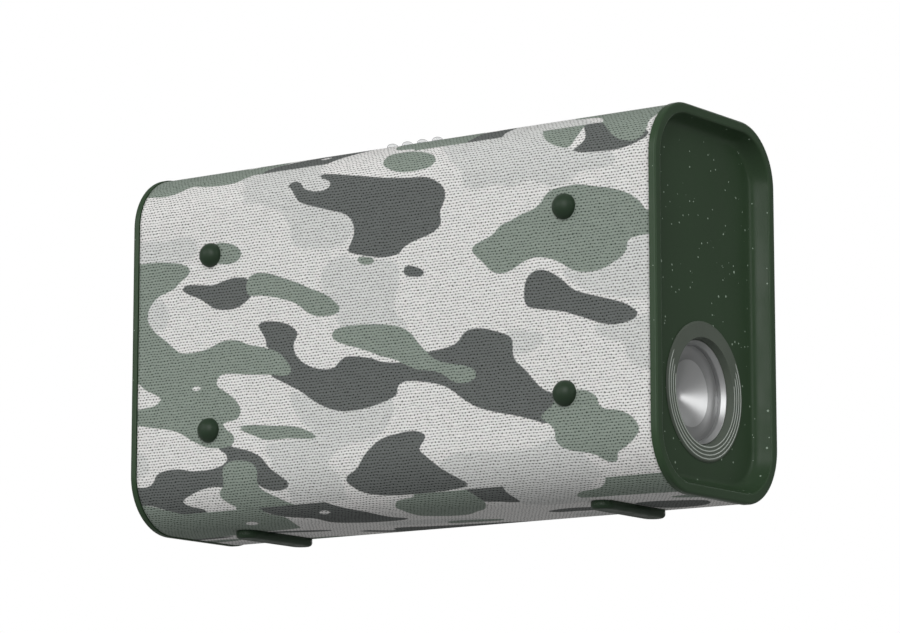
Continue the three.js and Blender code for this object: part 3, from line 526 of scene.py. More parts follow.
FACE_SAGE_HOLES = [
    [(-92, -9.6), (-87, -9.8), (-84.4, -11.7), (-80.3, -13.6), (-78.5, -14.9), (-80.5, -16.5), (-84.4, -17),
     (-92, -17.2)],
    [(-67.3, -12.9), (-65.4, -12.2), (-63.3, -12.9), (-65.4, -13.6)],
]
FACE_MIST = [
    [(-92, 31.5), (-78, 31), (-70, 31.5), (-66, 29), (-67, 25), (-80, 23), (-92, 24)],
    [(-54, 52), (-50, 44), (-49, 39), (-42, 37.5), (-35, 34), (-32, 29), (-31, 25), (-26, 23), (-16, 22.5),
     (-11, 25), (-9, 31), (-15, 40), (-24, 46), (-26, 52)],
    [(-21, 15), (-19, 18), (-13, 19.5), (-7, 17.5), (0, 17.3), (5, 15.5), (6, 11), (4.6, 6), (5, 2),
     (8.5, -2), (7, -5), (0, -4), (-14, 0), (-16, 5), (-20, 10)],
    [(19, 51), (21, 44), (26, 39.5), (28, 35), (32, 33), (38, 33.6), (44, 32.4), (50, 33.5), (56, 31),
     (62, 31.5), (66, 33.8), (74, 34), (77, 36), (74, 39), (66, 40), (60, 42), (54, 46), (50, 51)],
    [(60, 8), (66, 2.5), (76, -1), (84, -2), (92, -3), (92, 15), (80, 13), (72, 9)],
    [(42, -7), (50, -7.5), (54, -10), (50, -13), (43, -13)],
    [(70, -8), (74, -12), (79, -13.5), (80, -17), (84, -20.5), (92, -21), (92, -8), (80, -7)],
    [(-31, -17), (-20, -19), (-4, -22), (3, -21.5), (4, -26), (0, -31), (-8, -33), (-14, -34), (-18, -38),
     (-15, -42), (-15, -48), (-20, -52), (-33, -52), (-34, -44), (-38, -37), (-40, -31), (-32, -30.5),
     (-24, -29), (-29, -24)],
    [(19, -41), (28, -38.2), (40, -39.2), (50, -39), (58, -36.5), (66, -42), (66, -52), (30, -52),
     (22, -46)],
    [(-85, 13), (-79, 14), (-76, 10), (-77, 6), (-81, 5), (-84, 8)],
    [(-92, -29.5), (-84, -31), (-83, -36), (-92, -37)],
]

# Print outlines on the top and the underside: (x, distance back from the front seam). What the photo
# shows of the underside was read the same way, and the rest is invented.
SIDE_CHARCOAL = [
    [(-46.2, -1), (-44.3, 2.5), (-39.9, 4.5), (-34.3, 6), (-30.5, 7.2), (-28.6, 10.3), (-25.5, 14),
     (-20.5, 16.8), (-13, 18.2), (-6.4, 17), (-5.2, 14), (-8, 9.7), (-11.8, 5.8), (-18, 2.8), (-23, 0),
     (-23.5, -2)],
    [(-58, 19), (-50, 21), (-42, 24.4), (-40, 27), (-44, 27.2), (-52, 24.6), (-58, 21.6)],
    [(-90, 21), (-80, 20.6), (-72.5, 22), (-78, 24), (-90, 24)],
    [(24.8, -2), (25, 0.5), (26.4, 2.4), (27.6, 5.4), (32, 6.2), (37.4, 7.5), (38.4, 6), (36.9, 2),
     (35.8, -2)],
    [(-35, 33.4), (-31.8, 32.2), (-28.5, 35), (-25, 36.4), (-22.5, 32.6), (-18, 32.3), (-10.5, 34.7),
     (-0.5, 36.6), (10.8, 38.5), (19.5, 41), (20, 43.5), (4, 44), (-14, 43), (-25.5, 41), (-31, 37.8)],
    [(65, 22.8), (70.8, 21.6), (78.3, 24), (83.9, 27.8), (82, 33.5), (77, 37.2), (69.5, 37.8), (65, 34.7),
     (64.2, 28.5)],
    [(36, 24), (44, 21.5), (51, 23), (55, 27), (52, 30), (43, 28.5), (37, 27.5)],
]
SIDE_CHARCOAL_HOLES = [
    [(-27.9, 4.2), (-25.7, 3.2), (-23.7, 4.1), (-25.7, 5)],
]
SIDE_SAGE = [
    [(-92, -2), (-48, -2), (-46.4, 0), (-44.5, 2.6), (-40.2, 4.7), (-39.8, 8.5), (-41.7, 13.5), (-45, 17),
     (-58, 18.5), (-69, 20.2), (-92, 20.4)],
    [(-92, 28), (-80, 27.5), (-75, 29.5), (-80, 32), (-92, 32)],
    [(8.5, -2), (7, 0.8), (1, 1.8), (-1, 3.6), (-1.5, 5), (-0.3, 6.8), (0.9, 9.8), (2, 13.4), (5.8, 16.6),
     (10.8, 18.2), (15, 17.2), (19.5, 13.6), (24.5, 10.4), (27.6, 5.9), (26.4, 2.3), (25, 0), (25, -2)],
    [(70, -2), (69.8, 0.3), (66.4, 3.5), (59.5, 4.7), (57, 6.6), (59, 8.2), (69.5, 8.6), (78.3, 9),
     (92, 8.7), (92, -2)],
    [(-2.4, 31), (0.8, 27.6), (8.3, 28.7), (15, 31.6), (13.3, 34.4), (5.8, 33.7), (-0.5, 32.8)],
    [(80, 17), (84, 15), (92, 16), (92, 21), (85, 21)],
    [(-66, 41), (-54, 38), (-42, 41), (-36, 47), (-40, 55), (-70, 55), (-74, 47)],
    [(34, 45), (44, 41), (56, 42.5), (62, 48), (66, 55), (30, 55)],
]
SIDE_SAGE_HOLES = [
    [(-56, 6.6), (-53.3, 5.5), (-50.7, 6.6), (-53.3, 7.7)],
]
SIDE_MIST = [
    [(-20, 22), (-8, 20), (4, 22), (12, 28), (2, 31), (-14, 28)],
    [(30, -2), (36, 6), (44, 12), (56, 12), (62, 4), (66, -2)],
    [(40, 32), (52, 34), (60, 38), (50, 43), (38, 39)],
    [(-92, 36), (-76, 35), (-62, 37), (-60, 41), (-78, 43), (-92, 42)],
]


def spline(corners, steps=5):
    """A smooth closed line through the corners."""
    result = []
    count = len(corners)
    for k in range(count):
        p = [Vector(corners[(k + d) % count]) for d in (-1, 0, 1, 2)]
        for i in range(steps):
            t = i / steps
            a = 2 * p[1] + t * (p[2] - p[0])
            b = t * t * (2 * p[0] - 5 * p[1] + 4 * p[2] - p[3])
            c = t * t * t * (-p[0] + 3 * p[1] - 3 * p[2] + p[3])
            result.append((a + b + c) / 2)
    return result


class Grid:
    """Depths inside outlines, in millimetres, at the crossings of a panel's grid. Negative is outside."""

    REACH = 2.0

    def __init__(self, xs, rows):
        self.xs, self.rows = xs, rows
        self.depth = [[-self.REACH] * len(xs) for _ in rows]

    def near(self, low, high, values):
        """The indices of evenly spaced values that are within reach of a stretch."""
        step = values[1] - values[0]
        start = max(0, math.ceil((low - self.REACH - values[0]) / step))
        return range(start, min(len(values), math.floor((high + self.REACH - values[0]) / step) + 1))

    def one(self, corners):
        line = spline(corners)
        away = {}
        for k, b in enumerate(line):
            a = line[k - 1]
            along = b - a
            square = max(along.length_squared, 1e-9)
            for i in self.near(min(a.y, b.y), max(a.y, b.y), self.rows):
                for j in self.near(min(a.x, b.x), max(a.x, b.x), self.xs):
                    p = Vector((self.xs[j], self.rows[i]))
                    t = min(1, max(0, (p - a).dot(along) / square))
                    distance = (p - a - along * t).length
                    if distance < away.get((i, j), self.REACH):
                        away[i, j] = distance
        depth = []
        for i, row in enumerate(self.rows):
            cuts = sorted(
                a.x + (row - a.y) * (b.x - a.x) / (b.y - a.y)
                for a, b in zip([line[-1], *line[:-1]], line)
                if (a.y > row) != (b.y > row)
            )
            values, passed = [], 0
            for j, x in enumerate(self.xs):
                while passed < len(cuts) and cuts[passed] < x:
                    passed += 1
                distance = away.get((i, j), self.REACH)
                values.append(distance if passed % 2 else -distance)
            depth.append(values)
        return depth

    def fill(self, outlines, holes):
        for outline in outlines:
            self.combine(self.one(outline), max)
        for hole in holes:
            self.combine([[-v for v in row] for row in self.one(hole)], min)
        return self.depth

    def combine(self, other, choose):
        pairs = zip(self.depth, other)
        self.depth = [[choose(a, b) for a, b in zip(mine, theirs)] for mine, theirs in pairs]


def clockwise(v, angle):
    cosine, sine = math.cos(angle), math.sin(angle)
    return Vector((v.x * cosine + v.y * sine, v.y * cosine - v.x * sine))


def around(distance):
    """A point (y, z) of the sleeve's section and its normal, at a distance round from its face's middle."""
    distance %= PERIMETER
    position, heading, normal = Vector((-HALF_DEPTH, 0)), Vector((0, 1)), Vector((-1, 0))
    half, up, back = (STRAIGHT_UP / 2, False), (STRAIGHT_UP, False), (STRAIGHT_BACK, False)
    bend = (QUARTER, True)
    for length, bending in (half, bend, back, bend, up, bend, back, bend, half):
        part = min(distance, length)
        if bending:
            angle = part / SLEEVE_RADIUS
            centre = position - normal * SLEEVE_RADIUS
            normal, heading = clockwise(normal, angle), clockwise(heading, angle)
            position = centre + normal * SLEEVE_RADIUS
        else:
            position = position + heading * part
        distance -= part
        if distance <= 1e-9:
            break
    return position, normal


def steps_between(low, high):
    count = max(2, round((high - low) / FABRIC_STEP))
    return [low + (high - low) * k / count for k in range(count + 1)]


def print_panels(xs):
    """The panels round the section: where each starts, its rows, and its mist, charcoal and sage depths."""
    face_rows = steps_between(-SEAM, SEAM)
    side_rows = steps_between(0, SIDE_PANEL)
    face_prints = [(FACE_MIST, []), (FACE_CHARCOAL, []), (FACE_SAGE, FACE_SAGE_HOLES)]
    side_prints = [(SIDE_MIST, []), (SIDE_CHARCOAL, SIDE_CHARCOAL_HOLES), (SIDE_SAGE, SIDE_SAGE_HOLES)]
    face = [Grid(xs, face_rows).fill(*shapes) for shapes in face_prints]
    side = [Grid(xs, side_rows).fill(*shapes) for shapes in side_prints]
    return [
        (-SEAM, face_rows, face),
        (SEAM, side_rows, side),
        (SEAM + SIDE_PANEL, face_rows, [field[::-1] for field in face]),
        (3 * SEAM + SIDE_PANEL, side_rows, [field[::-1] for field in side]),
    ]


def cut_out():
    """A test for a point that lies in the keys' slot or a lens hole."""
    low, high, middle = box_mm("key_bezel")
    end_radius = (high.y - low.y) / 2
    lenses = [box_mm(f"indicator_lens_{k}")[2] for k in range(1, 5)]

    def test(x, y, z):
        past = max(0, abs(x) - (high.x - end_radius))
        in_slot = math.hypot(past, y - middle.y) < end_radius - KEY_SLOT_TUCK
        in_hole = any(math.hypot(x - p.x, y - p.y) < LENS_HOLE for p in lenses)
        return z >= sleeve_middle.z and (in_slot or in_hole)

    return test


def make_sleeve():
    xs = steps_between(-HALF_LENGTH, HALF_LENGTH)
    panels = print_panels(xs)
    is_cut_out = cut_out()
    points, faces, cloth = [], [], []
    prints = {"mist": [], "charcoal": [], "sage": []}
    columns = [(-HALF_LENGTH, HEM), *((x, 0) for x in xs), (HALF_LENGTH, HEM)]

    def new_ring(distance):
        at, normal = around(distance)
        for x, inset in columns:
            y, z = at - normal * inset
            points.append((x, sleeve_middle.y + y, sleeve_middle.z + z))
        return range(len(points) - len(columns), len(points))

    first_ring = ring = new_ring(-SEAM)
    for start, rows, fields in panels:
        for i in range(1, len(rows)):
            previous = ring
            closing = i == len(rows) - 1 and start == panels[-1][0]
            ring = first_ring if closing else new_ring(start + rows[i] - rows[0])
            for j in range(len(columns) - 1):
                if is_cut_out(*(Vector(points[previous[j]]) + Vector(points[ring[j + 1]])) / 2):
                    continue
                faces.append((previous[j], previous[j + 1], ring[j + 1], ring[j]))
                for r, c in ((i - 1, j), (i - 1, j + 1), (i, j + 1), (i, j)):
                    k = min(max(c - 1, 0), len(xs) - 1)
                    cloth += [xs[k], start + rows[r] - rows[0], 0]
                    for values, field in zip(prints.values(), fields):
                        values.append(field[r][k])
    shape = (points, faces)
    obj = piece("camouflage_sleeve", shape, "camouflage_fabric", replaces=["fabric_sleeve"], outward=False)
    mesh = obj.data
    mesh.attributes.new("cloth", "FLOAT_VECTOR", "CORNER").data.foreach_set("vector", cloth)
    for name, values in prints.items():
        mesh.attributes.new(name, "FLOAT", "CORNER").data.foreach_set("value", values)


# ---- Materials ---------------------------------------------------------------------------------


def camouflage():
    """Plain weave on a brick lattice of small gaps darkened by painted shade, printed pale grey with charcoal and
    sage shapes.
    """
    m = new_material("camouflage_fabric")
    cloth = m.field("cloth", "Vector")
    x, s, _ = m.split(cloth)
    x = m.plus(x, m.times(m.wander(cloth, 0.3, 3), 1.6))
    s = m.plus(s, m.times(m.wander(m.stretched(cloth, (0.8, 1.2, 1)), 0.3), 0.9))
    across = m.times(x, 2 * math.pi / THREAD_PITCH)
    along = m.times(s, math.pi / ROW_PITCH)
    lattice = m.times(m.math("COSINE", across), m.math("COSINE", along))
    rows = m.math("COSINE", m.times(along, 2.0))
    slub = m.wander(m.stretched(cloth, (0.5, 1.6, 1)), 1.1)
    uneven = m.smooth(m.noise(m.stretched(cloth, (1, 0.7, 1)), 0.8), 0.32, 0.68, 0.4, 1.5)
    line = m.times(m.smooth(rows, 0.2, 1.0), m.smooth(slub, -0.2, 0.25, 0.1, 0.65))
    pinhole = m.times(m.smooth(m.plus(lattice, m.times(rows, 0.2)), 0.33, 1.14), uneven)
    gap = m.math("MINIMUM", m.plus(line, pinhole), 1.0)
    ragged = m.times(m.wander(cloth, 1.7, 1), 0.4)
    mist = m.smooth(m.plus(m.field("mist"), m.times(ragged, 2.0)), -0.6, 0.6)
    dark = m.smooth(m.plus(m.field("charcoal"), ragged), -0.2, 0.2)
    green = m.smooth(m.plus(m.field("sage"), ragged), -0.2, 0.2)
    tint = m.mix(m.noise(cloth, 0.35, 3), srgb(242, 238, 237), srgb(238, 240, 237))
    thread = m.mix(mist, tint, srgb(224, 225, 223))
    thread = m.mix(dark, thread, srgb(108, 112, 110))
    thread = m.mix(green, thread, srgb(147, 158, 148))
    # Painted shade: the gaps take each print's colour darkened, standing for shade in the crevices between
    # threads.
    gap_shade = m.mix(dark, srgb(100, 101, 98), srgb(40, 42, 41))
    gap_shade = m.mix(green, gap_shade, srgb(56, 66, 58))
    tone = m.mix(m.smooth(slub, -0.3, 0.3), (0.9, 0.9, 0.9, 1), (1.06, 1.06, 1.06, 1))
    return m.finish(
        Base_Color=m.mix(1.0, m.mix(gap, thread, gap_shade), tone, "MULTIPLY"),
        Roughness=m.plus(0.82, m.times(gap, 0.1)),
        Normal=m.bump(m.minus(m.times(slub, 0.3), gap), 0.7, 0.16),
        Specular_IOR_Level=0.25,
    )


def speckled():
    """Dark green moulded plastic with pale flecks in it, the same on both ends."""
    m = new_material("speckled_cap_plastic")
    place = m.place()
    x, y, z = m.split(place)
    mirrored = m.vector(m.math("ABSOLUTE", x), y, z)
    flecks = 0.0
    for cell_mm, share, small, large in ((1.85, 0.66, 0.06, 0.15), (3.7, 0.5, 0.05, 0.1)):
        distance, random = m.cells(mirrored, 1 / (cell_mm * MM))
        radius = m.smooth(random[1], 0.0, 1.0, small, large)
        chosen = m.smooth(random[0], share, share + 0.02)
        flecks = m.math("MAXIMUM", flecks, m.times(m.math("LESS_THAN", distance, radius), chosen))
    base = m.mix(m.noise(place, 60, 3), srgb(50, 69, 48), srgb(56, 77, 54))
    return m.finish(
        Base_Color=m.mix(flecks, base, srgb(158, 176, 158)),
        Roughness=m.smooth(m.noise(place, 120, 3), 0.3, 0.7, 0.3, 0.42),
        Normal=m.bump(m.noise(place, 2600), 0.12, 0.05),
        Specular_IOR_Level=0.2,
    )


def moulded(name, dark, light, roughness, grain=1400, depth=0.15, shine=0.5):
    """Plain moulded plastic or rubber with a fine grain and faint clouding."""
    m = new_material(name)
    place = m.place()
    return m.finish(
        Base_Color=m.mix(m.noise(place, 90, 4), srgb(*dark), srgb(*light)),
        Roughness=m.smooth(m.noise(place, 300, 3), 0.3, 0.7, roughness - 0.06, roughness + 0.06),
        Normal=m.bump(m.noise(place, grain, 3), depth, 0.06),
        Specular_IOR_Level=shine,
    )


# The radiators' axis, which their turned metal needs, and the trim round them.
trim_low, trim_high, trim_middle = box_mm("radiator_trim_right")
RADIATOR_AXIS = (0, trim_middle.y, trim_middle.z)


def metal(name, dark, light, roughness, streaks=None):
    """Bare metal, brushed along a direction, or turned about the radiators' axis."""
    m = new_material(name)
    place = m.place()
    if streaks:
        lines = m.noise(m.stretched(place, streaks), 900, 3)
    else:
        _, y, z = m.split(place)
        radius = m.hypot(*(m.minus(value, at * MM) for value, at in zip((y, z), RADIATOR_AXIS[1:])))
        lines = m.noise(m.vector(radius), 5200, 3)
    return m.finish(
        Base_Color=m.mix(lines, srgb(*dark), srgb(*light)),
        Metallic=1.0,
        Roughness=m.smooth(lines, 0.3, 0.7, roughness - 0.05, roughness + 0.07),
        Normal=m.bump(lines, 0.03, 0.02),
    )


def clear_plastic():
    """A thin clear shell: glass seen square on, and a painted reflection where it turns away: a darker silvery
    line set by view angle.
    """
    m = new_material("clear_plastic")
    place = m.place()
    painted_edge_reflection = m.surface(
        Base_Color=m.mix(m.noise(place, 400), srgb(120, 124, 124), srgb(134, 138, 138)),
        Roughness=m.smooth(m.noise(place, 700), 0.3, 0.7, 0.05, 0.12),
    )
    # Painted reflection: an opaque silvery grey surface shown where the dome turns away from view, standing in for
    # its reflection and refraction.
    turned_away = m.new("LayerWeight", {"Blend": 0.5}).outputs["Facing"]
    return m.show(m.either(m.smooth(turned_away, 0.45, 0.9, 0.05, 0.95), m.clear(), painted_edge_reflection))


def board():
    """Green solder mask with copper lines that show through it."""
    m = new_material("board_laminate")
    distance, random = m.cells(m.place(), 420)
    lines = m.smooth(distance, 0.18, 0.24)
    return m.finish(
        Base_Color=m.mix(lines, srgb(34, 110, 66), srgb(16, 74, 42)),
        Roughness=m.smooth(random[0], 0, 1, 0.3, 0.45),
        Normal=m.bump(lines, 0.2, 0.05),
    )


camouflage()
speckled()
clear_plastic()
board()
moulded("green_rubber", (38, 54, 38), (44, 62, 45), 0.45, 900, 0.1, 0.25)
moulded("black_rubber", (16, 16, 17), (28, 28, 29), 0.75)
moulded("black_plastic", (22, 23, 24), (34, 35, 36), 0.5)
moulded("trim_plastic", (88, 96, 86), (98, 107, 96), 0.45, 1800, 0.1, 0.3)
moulded("ring_ink", (190, 198, 190), (205, 212, 205), 0.4, 1800, 0.1, 0.4)
moulded("cone_paper", (24, 25, 27), (44, 45, 47), 0.7, 2400, 0.3)
moulded("lamp_white", (236, 238, 238), (248, 249, 248), 0.5, 1400, 0.05, 0.2)
moulded("cell_wrap", (34, 84, 140), (46, 98, 156), 0.3, 500)
metal("grey_rubber", (164, 165, 165), (176, 177, 177), 0.48)
metal("silver_metal", (200, 201, 201), (210, 211, 211), 0.4)
metal("steel", (128, 130, 133), (178, 180, 183), 0.32, (1, 1, 0.05))

for part in frame["record"]["subparts"]:
    for material_slot in frame["nodes"][part["node"]].material_slots:
        material_slot.material = FINISHES[part["material_slot"]]

make_sleeve()

# ---- End caps ----------------------------------------------------------------------------------

cap_low, cap_high, cap_middle = box_mm("end_cap_right")
CAP_END = cap_high.x
CAP_SIZE = (cap_high.y - cap_low.y, cap_high.z - cap_low.z)
CAP_RADIUS = 16.5
CAP_SIDE = 2.1
CAP_EDGE = 0.8
LIP_WIDTH = 3.0
LIP_ROUND = 0.6
DISH_DEPTH = 5.0
FLOOR_X = CAP_END - DISH_DEPTH
FLOOR_INSET = 6.3
FLOOR_THICKNESS = 2
RADIATOR_HOLE = 15.5

PORT_MIDDLE = (sleeve_middle.y, box_mm("port_door")[2].z)
PORT_SIZE = (12, 26)
PORT_RADIUS = 3
hinge = next(joint for joint in frame["joints"] if joint["name"] == "port_door_hinge")
HINGE_X, HINGE_Y = (value / MM for value in hinge["pos_m"][:2])
KNUCKLE = 1.25
KNUCKLE_BORE = 0.72
LUG_STARTS = (-10, 6.3)
LUG_LENGTH = 3.7


def cap_shape(holes):
    """The rim, lip, wall and fillet as rings, and the dish's floor with its holes."""
    side = CAP_END - CAP_SIDE
    wall = curve(
        (CAP_END - LIP_ROUND, LIP_WIDTH), (FLOOR_X + 1.4, LIP_WIDTH + 1),
        (FLOOR_X, FLOOR_INSET - 1.6), (FLOOR_X, FLOOR_INSET), 14,
    )
    section = [
        (side, 1.4),
        (side, 0.12),
        (side + 0.12, 0),
        *arc(CAP_END - CAP_EDGE, CAP_EDGE, CAP_EDGE, -CAP_EDGE, 90, 0, 6),
        *arc(CAP_END - LIP_ROUND, LIP_WIDTH - LIP_ROUND, LIP_ROUND, LIP_ROUND, 0, 90, 6),
        *wall[1:],
        (FLOOR_X, FLOOR_INSET + 0.3),
    ]
    levels = supported(section, closed=False)
    rings = layers(levels, *CAP_SIZE, CAP_RADIUS, (cap_middle.y, cap_middle.z), 20, upright)
    floor = flat_fill([rings[-1], *(upright(FLOOR_X, hole) for hole in holes)])
    bores = [skinned([upright(x, hole) for x in (FLOOR_X, FLOOR_X - FLOOR_THICKNESS)]) for hole in holes]
    return joined(skinned(rings), floor, *bores)


def knuckle(low, high, soft=0.2):
    """A hinge barrel with softened ends, bored for the pin."""
    centre = KNUCKLE - soft
    profile = [
        (KNUCKLE_BORE, low),
        (centre, low),
        *arc(centre, low + soft, soft, soft, -90, 0, 3),
        *arc(centre, high - soft, soft, soft, 0, 90, 3),
        (KNUCKLE_BORE, high),
    ]
    return turned(profile, "z", (HINGE_X, HINGE_Y, 0), 40)


def block(low, high, soft=0.25):
    """A block with rounded upright edges and softened ends."""
    near = soft * 0.3
    levels = [(low[2], soft), (low[2] + near, near), (low[2] + soft, 0)]
    levels += [(high[2] - soft, 0), (high[2] - near, near), (high[2], soft)]
    middle = ((low[0] + high[0]) / 2, (low[1] + high[1]) / 2)
    return skinned(layers(levels, high[0] - low[0], high[1] - low[1], soft, middle, 4), True)


def make_caps():
    radiator_hole = circle(RADIATOR_HOLE, *RADIATOR_AXIS[1:])
    port_hole = rounded(*PORT_SIZE, PORT_RADIUS, *PORT_MIDDLE, 8)
    piece("dished_cap_right", cap_shape([radiator_hole]), "speckled_cap_plastic", replaces=["end_cap_right"])
    lugs = []
    for start in LUG_STARTS:
        low, high = PORT_MIDDLE[1] + start, PORT_MIDDLE[1] + start + LUG_LENGTH
        lugs.append(knuckle(low, high))
        root = (HINGE_X + 0.3, HINGE_Y + 0.75, low + 0.05)
        tip = (-FLOOR_X + 0.4, HINGE_Y + 1.25, high - 0.05)
        lugs.append(block(root, tip, 0.15))
    left = joined(flipped(cap_shape([radiator_hole, port_hole])), *lugs)
    piece("dished_cap_left", left, "speckled_cap_plastic", replaces=["end_cap_left"])


make_caps()

# ---- Radiators ---------------------------------------------------------------------------------

TRIM_RADIUS = (trim_high.y - trim_low.y) / 2
TRIM_FACE = trim_high.x
TRIM_OPENING = 14.4
TRIM_BORE = 15.2
COLLAR_X = trim_low.x
FRAME_FRONT = COLLAR_X - 0.2
FRAME_BACK = FRAME_FRONT - 3.6
ROLL_X = box_mm("radiator_surround_right")[0].x
ROLL_INNER = 9.6
ROLL_EDGE = 12.95
ROLL_THICKNESS = 0.3
DISH_LIP_X = box_mm("radiator_cone_right")[1].x - 1.15
DISH_THICKNESS = 0.9
FLANK_TOP, FLANK_FOOT, FLANK_SLOPE = 9.15, 2.4, 0.55
RING_LINES = [(14.95, 103), (16.0, 110), (17.05, 115), (18.1, 122)]  # radius, degrees to each side
LINE_WIDTH, LINE_RISE = 0.16, 0.05


def radiator_profiles():
    """The trim, the frame's bevel, the roll and the dish, each as (radius, distance along)."""
    trim = [
        (TRIM_RADIUS, FLOOR_X + 0.02),
        (TRIM_RADIUS, FLOOR_X + 0.15),
        (TRIM_RADIUS - 0.4, TRIM_FACE),
        *arc(TRIM_OPENING + 0.32, TRIM_FACE - 0.15, 0.15, 0.15, 90, 170, 4),
        (TRIM_OPENING - 0.3, COLLAR_X),
        (TRIM_BORE, COLLAR_X),
        (TRIM_BORE, FLOOR_X + 0.02),
    ]
    bevel = [
        (TRIM_OPENING + 0.5, FRAME_FRONT),
        (TRIM_OPENING - 0.35, FRAME_FRONT),
        *arc(TRIM_OPENING - 0.55, FRAME_FRONT + 0.15, 0.2, 0.2, 0, 145, 6),
        (ROLL_EDGE, ROLL_X + 0.85),
        (ROLL_EDGE, FRAME_BACK),
        (TRIM_OPENING + 0.5, FRAME_BACK),
    ]
    crest = curve(
        (ROLL_EDGE, ROLL_X - 0.2), (ROLL_EDGE - 0.85, ROLL_X - 0.15),
        (ROLL_INNER + 1.4, ROLL_X + 0.2), (FLANK_TOP, DISH_LIP_X + 0.02), 24,
    )
    crest.append((FLANK_TOP - 0.15, DISH_LIP_X - 0.12))
    roll = [*crest, *((r, x - ROLL_THICKNESS) for r, x in reversed(crest))]
    top = (FLANK_TOP, DISH_LIP_X)
    foot = (FLANK_FOOT, DISH_LIP_X - FLANK_SLOPE * (FLANK_TOP - FLANK_FOOT))
    bottom = foot[1] - 0.55
    dish = curve((0, bottom), (1.0, bottom), (1.7, foot[1] - 0.385), foot, 6)
    dish += [tuple(Vector(foot).lerp(Vector(top), k / 6)) for k in range(1, 7)]
    dish.append((ROLL_INNER, DISH_LIP_X))
    dish += [(r, x - DISH_THICKNESS) for r, x in reversed(dish)]
    return trim, bevel, roll, dish


def ring_line(radius, half_angle, steps=90):
    """A thin raised line on the trim's face, open at the top, with round ends."""
    rings = []
    for k in range(steps + 1):
        a = math.radians(-90 - half_angle + 2 * half_angle * k / steps)
        out = Vector((0, math.cos(a), math.sin(a)))
        narrow = min(1.0, (min(k, steps - k) + 0.15) / 1.2)
        centre = Vector((TRIM_FACE, *RADIATOR_AXIS[1:])) + out * radius
        oval = arc(0, 0, LINE_WIDTH * narrow, LINE_RISE * narrow, 0, 315, 7)
        rings.append([centre + out * u + Vector((v, 0, 0)) for u, v in oval])
    return skinned(rings, True)


def sided_piece(side, name, shape, finish, body, node=None):
    """A piece drawn for the right side, and mirrored for the left."""
    shown = shape if ENDS[side] > 0 else flipped(shape)
    return piece(f"{name}_{side}", shown, finish, body, [f"{node}_{side}"] if node else [])


def make_radiators():
    trim, bevel, roll, dish = (turned(p, "x", RADIATOR_AXIS, 144) for p in radiator_profiles())
    lines = joined(*(ring_line(*line) for line in RING_LINES))
    for side in ENDS:
        moving = f"radiator_{side}"
        sided_piece(side, "trim_ring", trim, "trim_plastic", ROOT, "radiator_trim")
        sided_piece(side, "radiator_rim", bevel, "silver_metal", ROOT, "radiator_frame")
        sided_piece(side, "radiator_bowl", dish, "silver_metal", moving, "radiator_cone")
        obj = sided_piece(side, "radiator_roll", roll, "grey_rubber", None, "radiator_surround")
        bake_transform(obj)
        sided_piece(side, "trim_lines", lines, "ring_ink", ROOT)


make_radiators()

# ---- Drivers' surrounds, a rubber roll between frame and cone ----------------------------------

driver_high, driver_middle = box_mm("driver_surround_right")[1:]
DRIVER_BASE = driver_high.y
DRIVER_ROLL = 20.0
DRIVER_ROLL_RADIUS = 1.4
DRIVER_FLANGE = 0.5


def make_driver_surrounds():
    outer, inner = DRIVER_ROLL + DRIVER_ROLL_RADIUS, DRIVER_ROLL - DRIVER_ROLL_RADIUS
    profile = [
        (outer + DRIVER_FLANGE, DRIVER_BASE - 0.05),
        *arc(DRIVER_ROLL, DRIVER_BASE, DRIVER_ROLL_RADIUS, -DRIVER_ROLL_RADIUS, 0, 180, 12),
        (inner - DRIVER_FLANGE, DRIVER_BASE - 0.05),
        (inner - DRIVER_FLANGE, DRIVER_BASE + 0.2),
        (outer + DRIVER_FLANGE, DRIVER_BASE + 0.2),
    ]
    for side, sign in ENDS.items():
        axis = (sign * driver_middle.x, 0, driver_middle.z)
        shape = turned(profile, "y", axis)
        obj = piece(f"driver_roll_{side}", shape, "black_rubber", None, [f"driver_surround_{side}"])
        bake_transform(obj)


make_driver_surrounds()

# ---- Studs, feet, lenses -----------------------------------------------------------------------


def make_studs():
    skirt, stem = 0.2, 1.7
    seat = sleeve_low.y + 0.15
    for place in ("lower_left", "lower_right", "upper_left", "upper_right"):
        node = f"face_stud_{place}"
        low, high, middle = box_mm(node)
        radius = (high.x - low.x) / 2
        profile = [
            (0, low.y),
            *arc(0, seat - 0.25, radius, seat - low.y - 0.25, -90, 0, 16)[1:],
            *arc(radius - skirt, seat - 0.1, skirt, 0.15, 0, 60, 3)[1:],
            (stem, seat + 0.1),
            (stem, high.y),
            (0, high.y),
        ]
        shape = turned(profile, "y", (middle.x, 0, middle.z), 64)
        piece(f"rubber_stud_{place}", shape, "green_rubber", replaces=[node])


def make_feet():
    edge = 1.1
    top = sleeve_low.z + 0.15
    for side in ENDS:
        node = f"foot_{side}"
        low, high, middle = box_mm(node)
        width, length = high.x - low.x, high.y - low.y
        bottom = arc(edge, low.z + edge, edge, edge, 180, 270, 8)
        levels = [(top, 0.35), (top - 0.3, 0.02), *((z, inset) for inset, z in bottom), (low.z, edge + 0.1)]
        rings = layers(levels, width, length, width / 2 - 0.01, middle.xy, 16)
        piece(f"rubber_foot_{side}", skinned(rings, True), "green_rubber", replaces=[node])


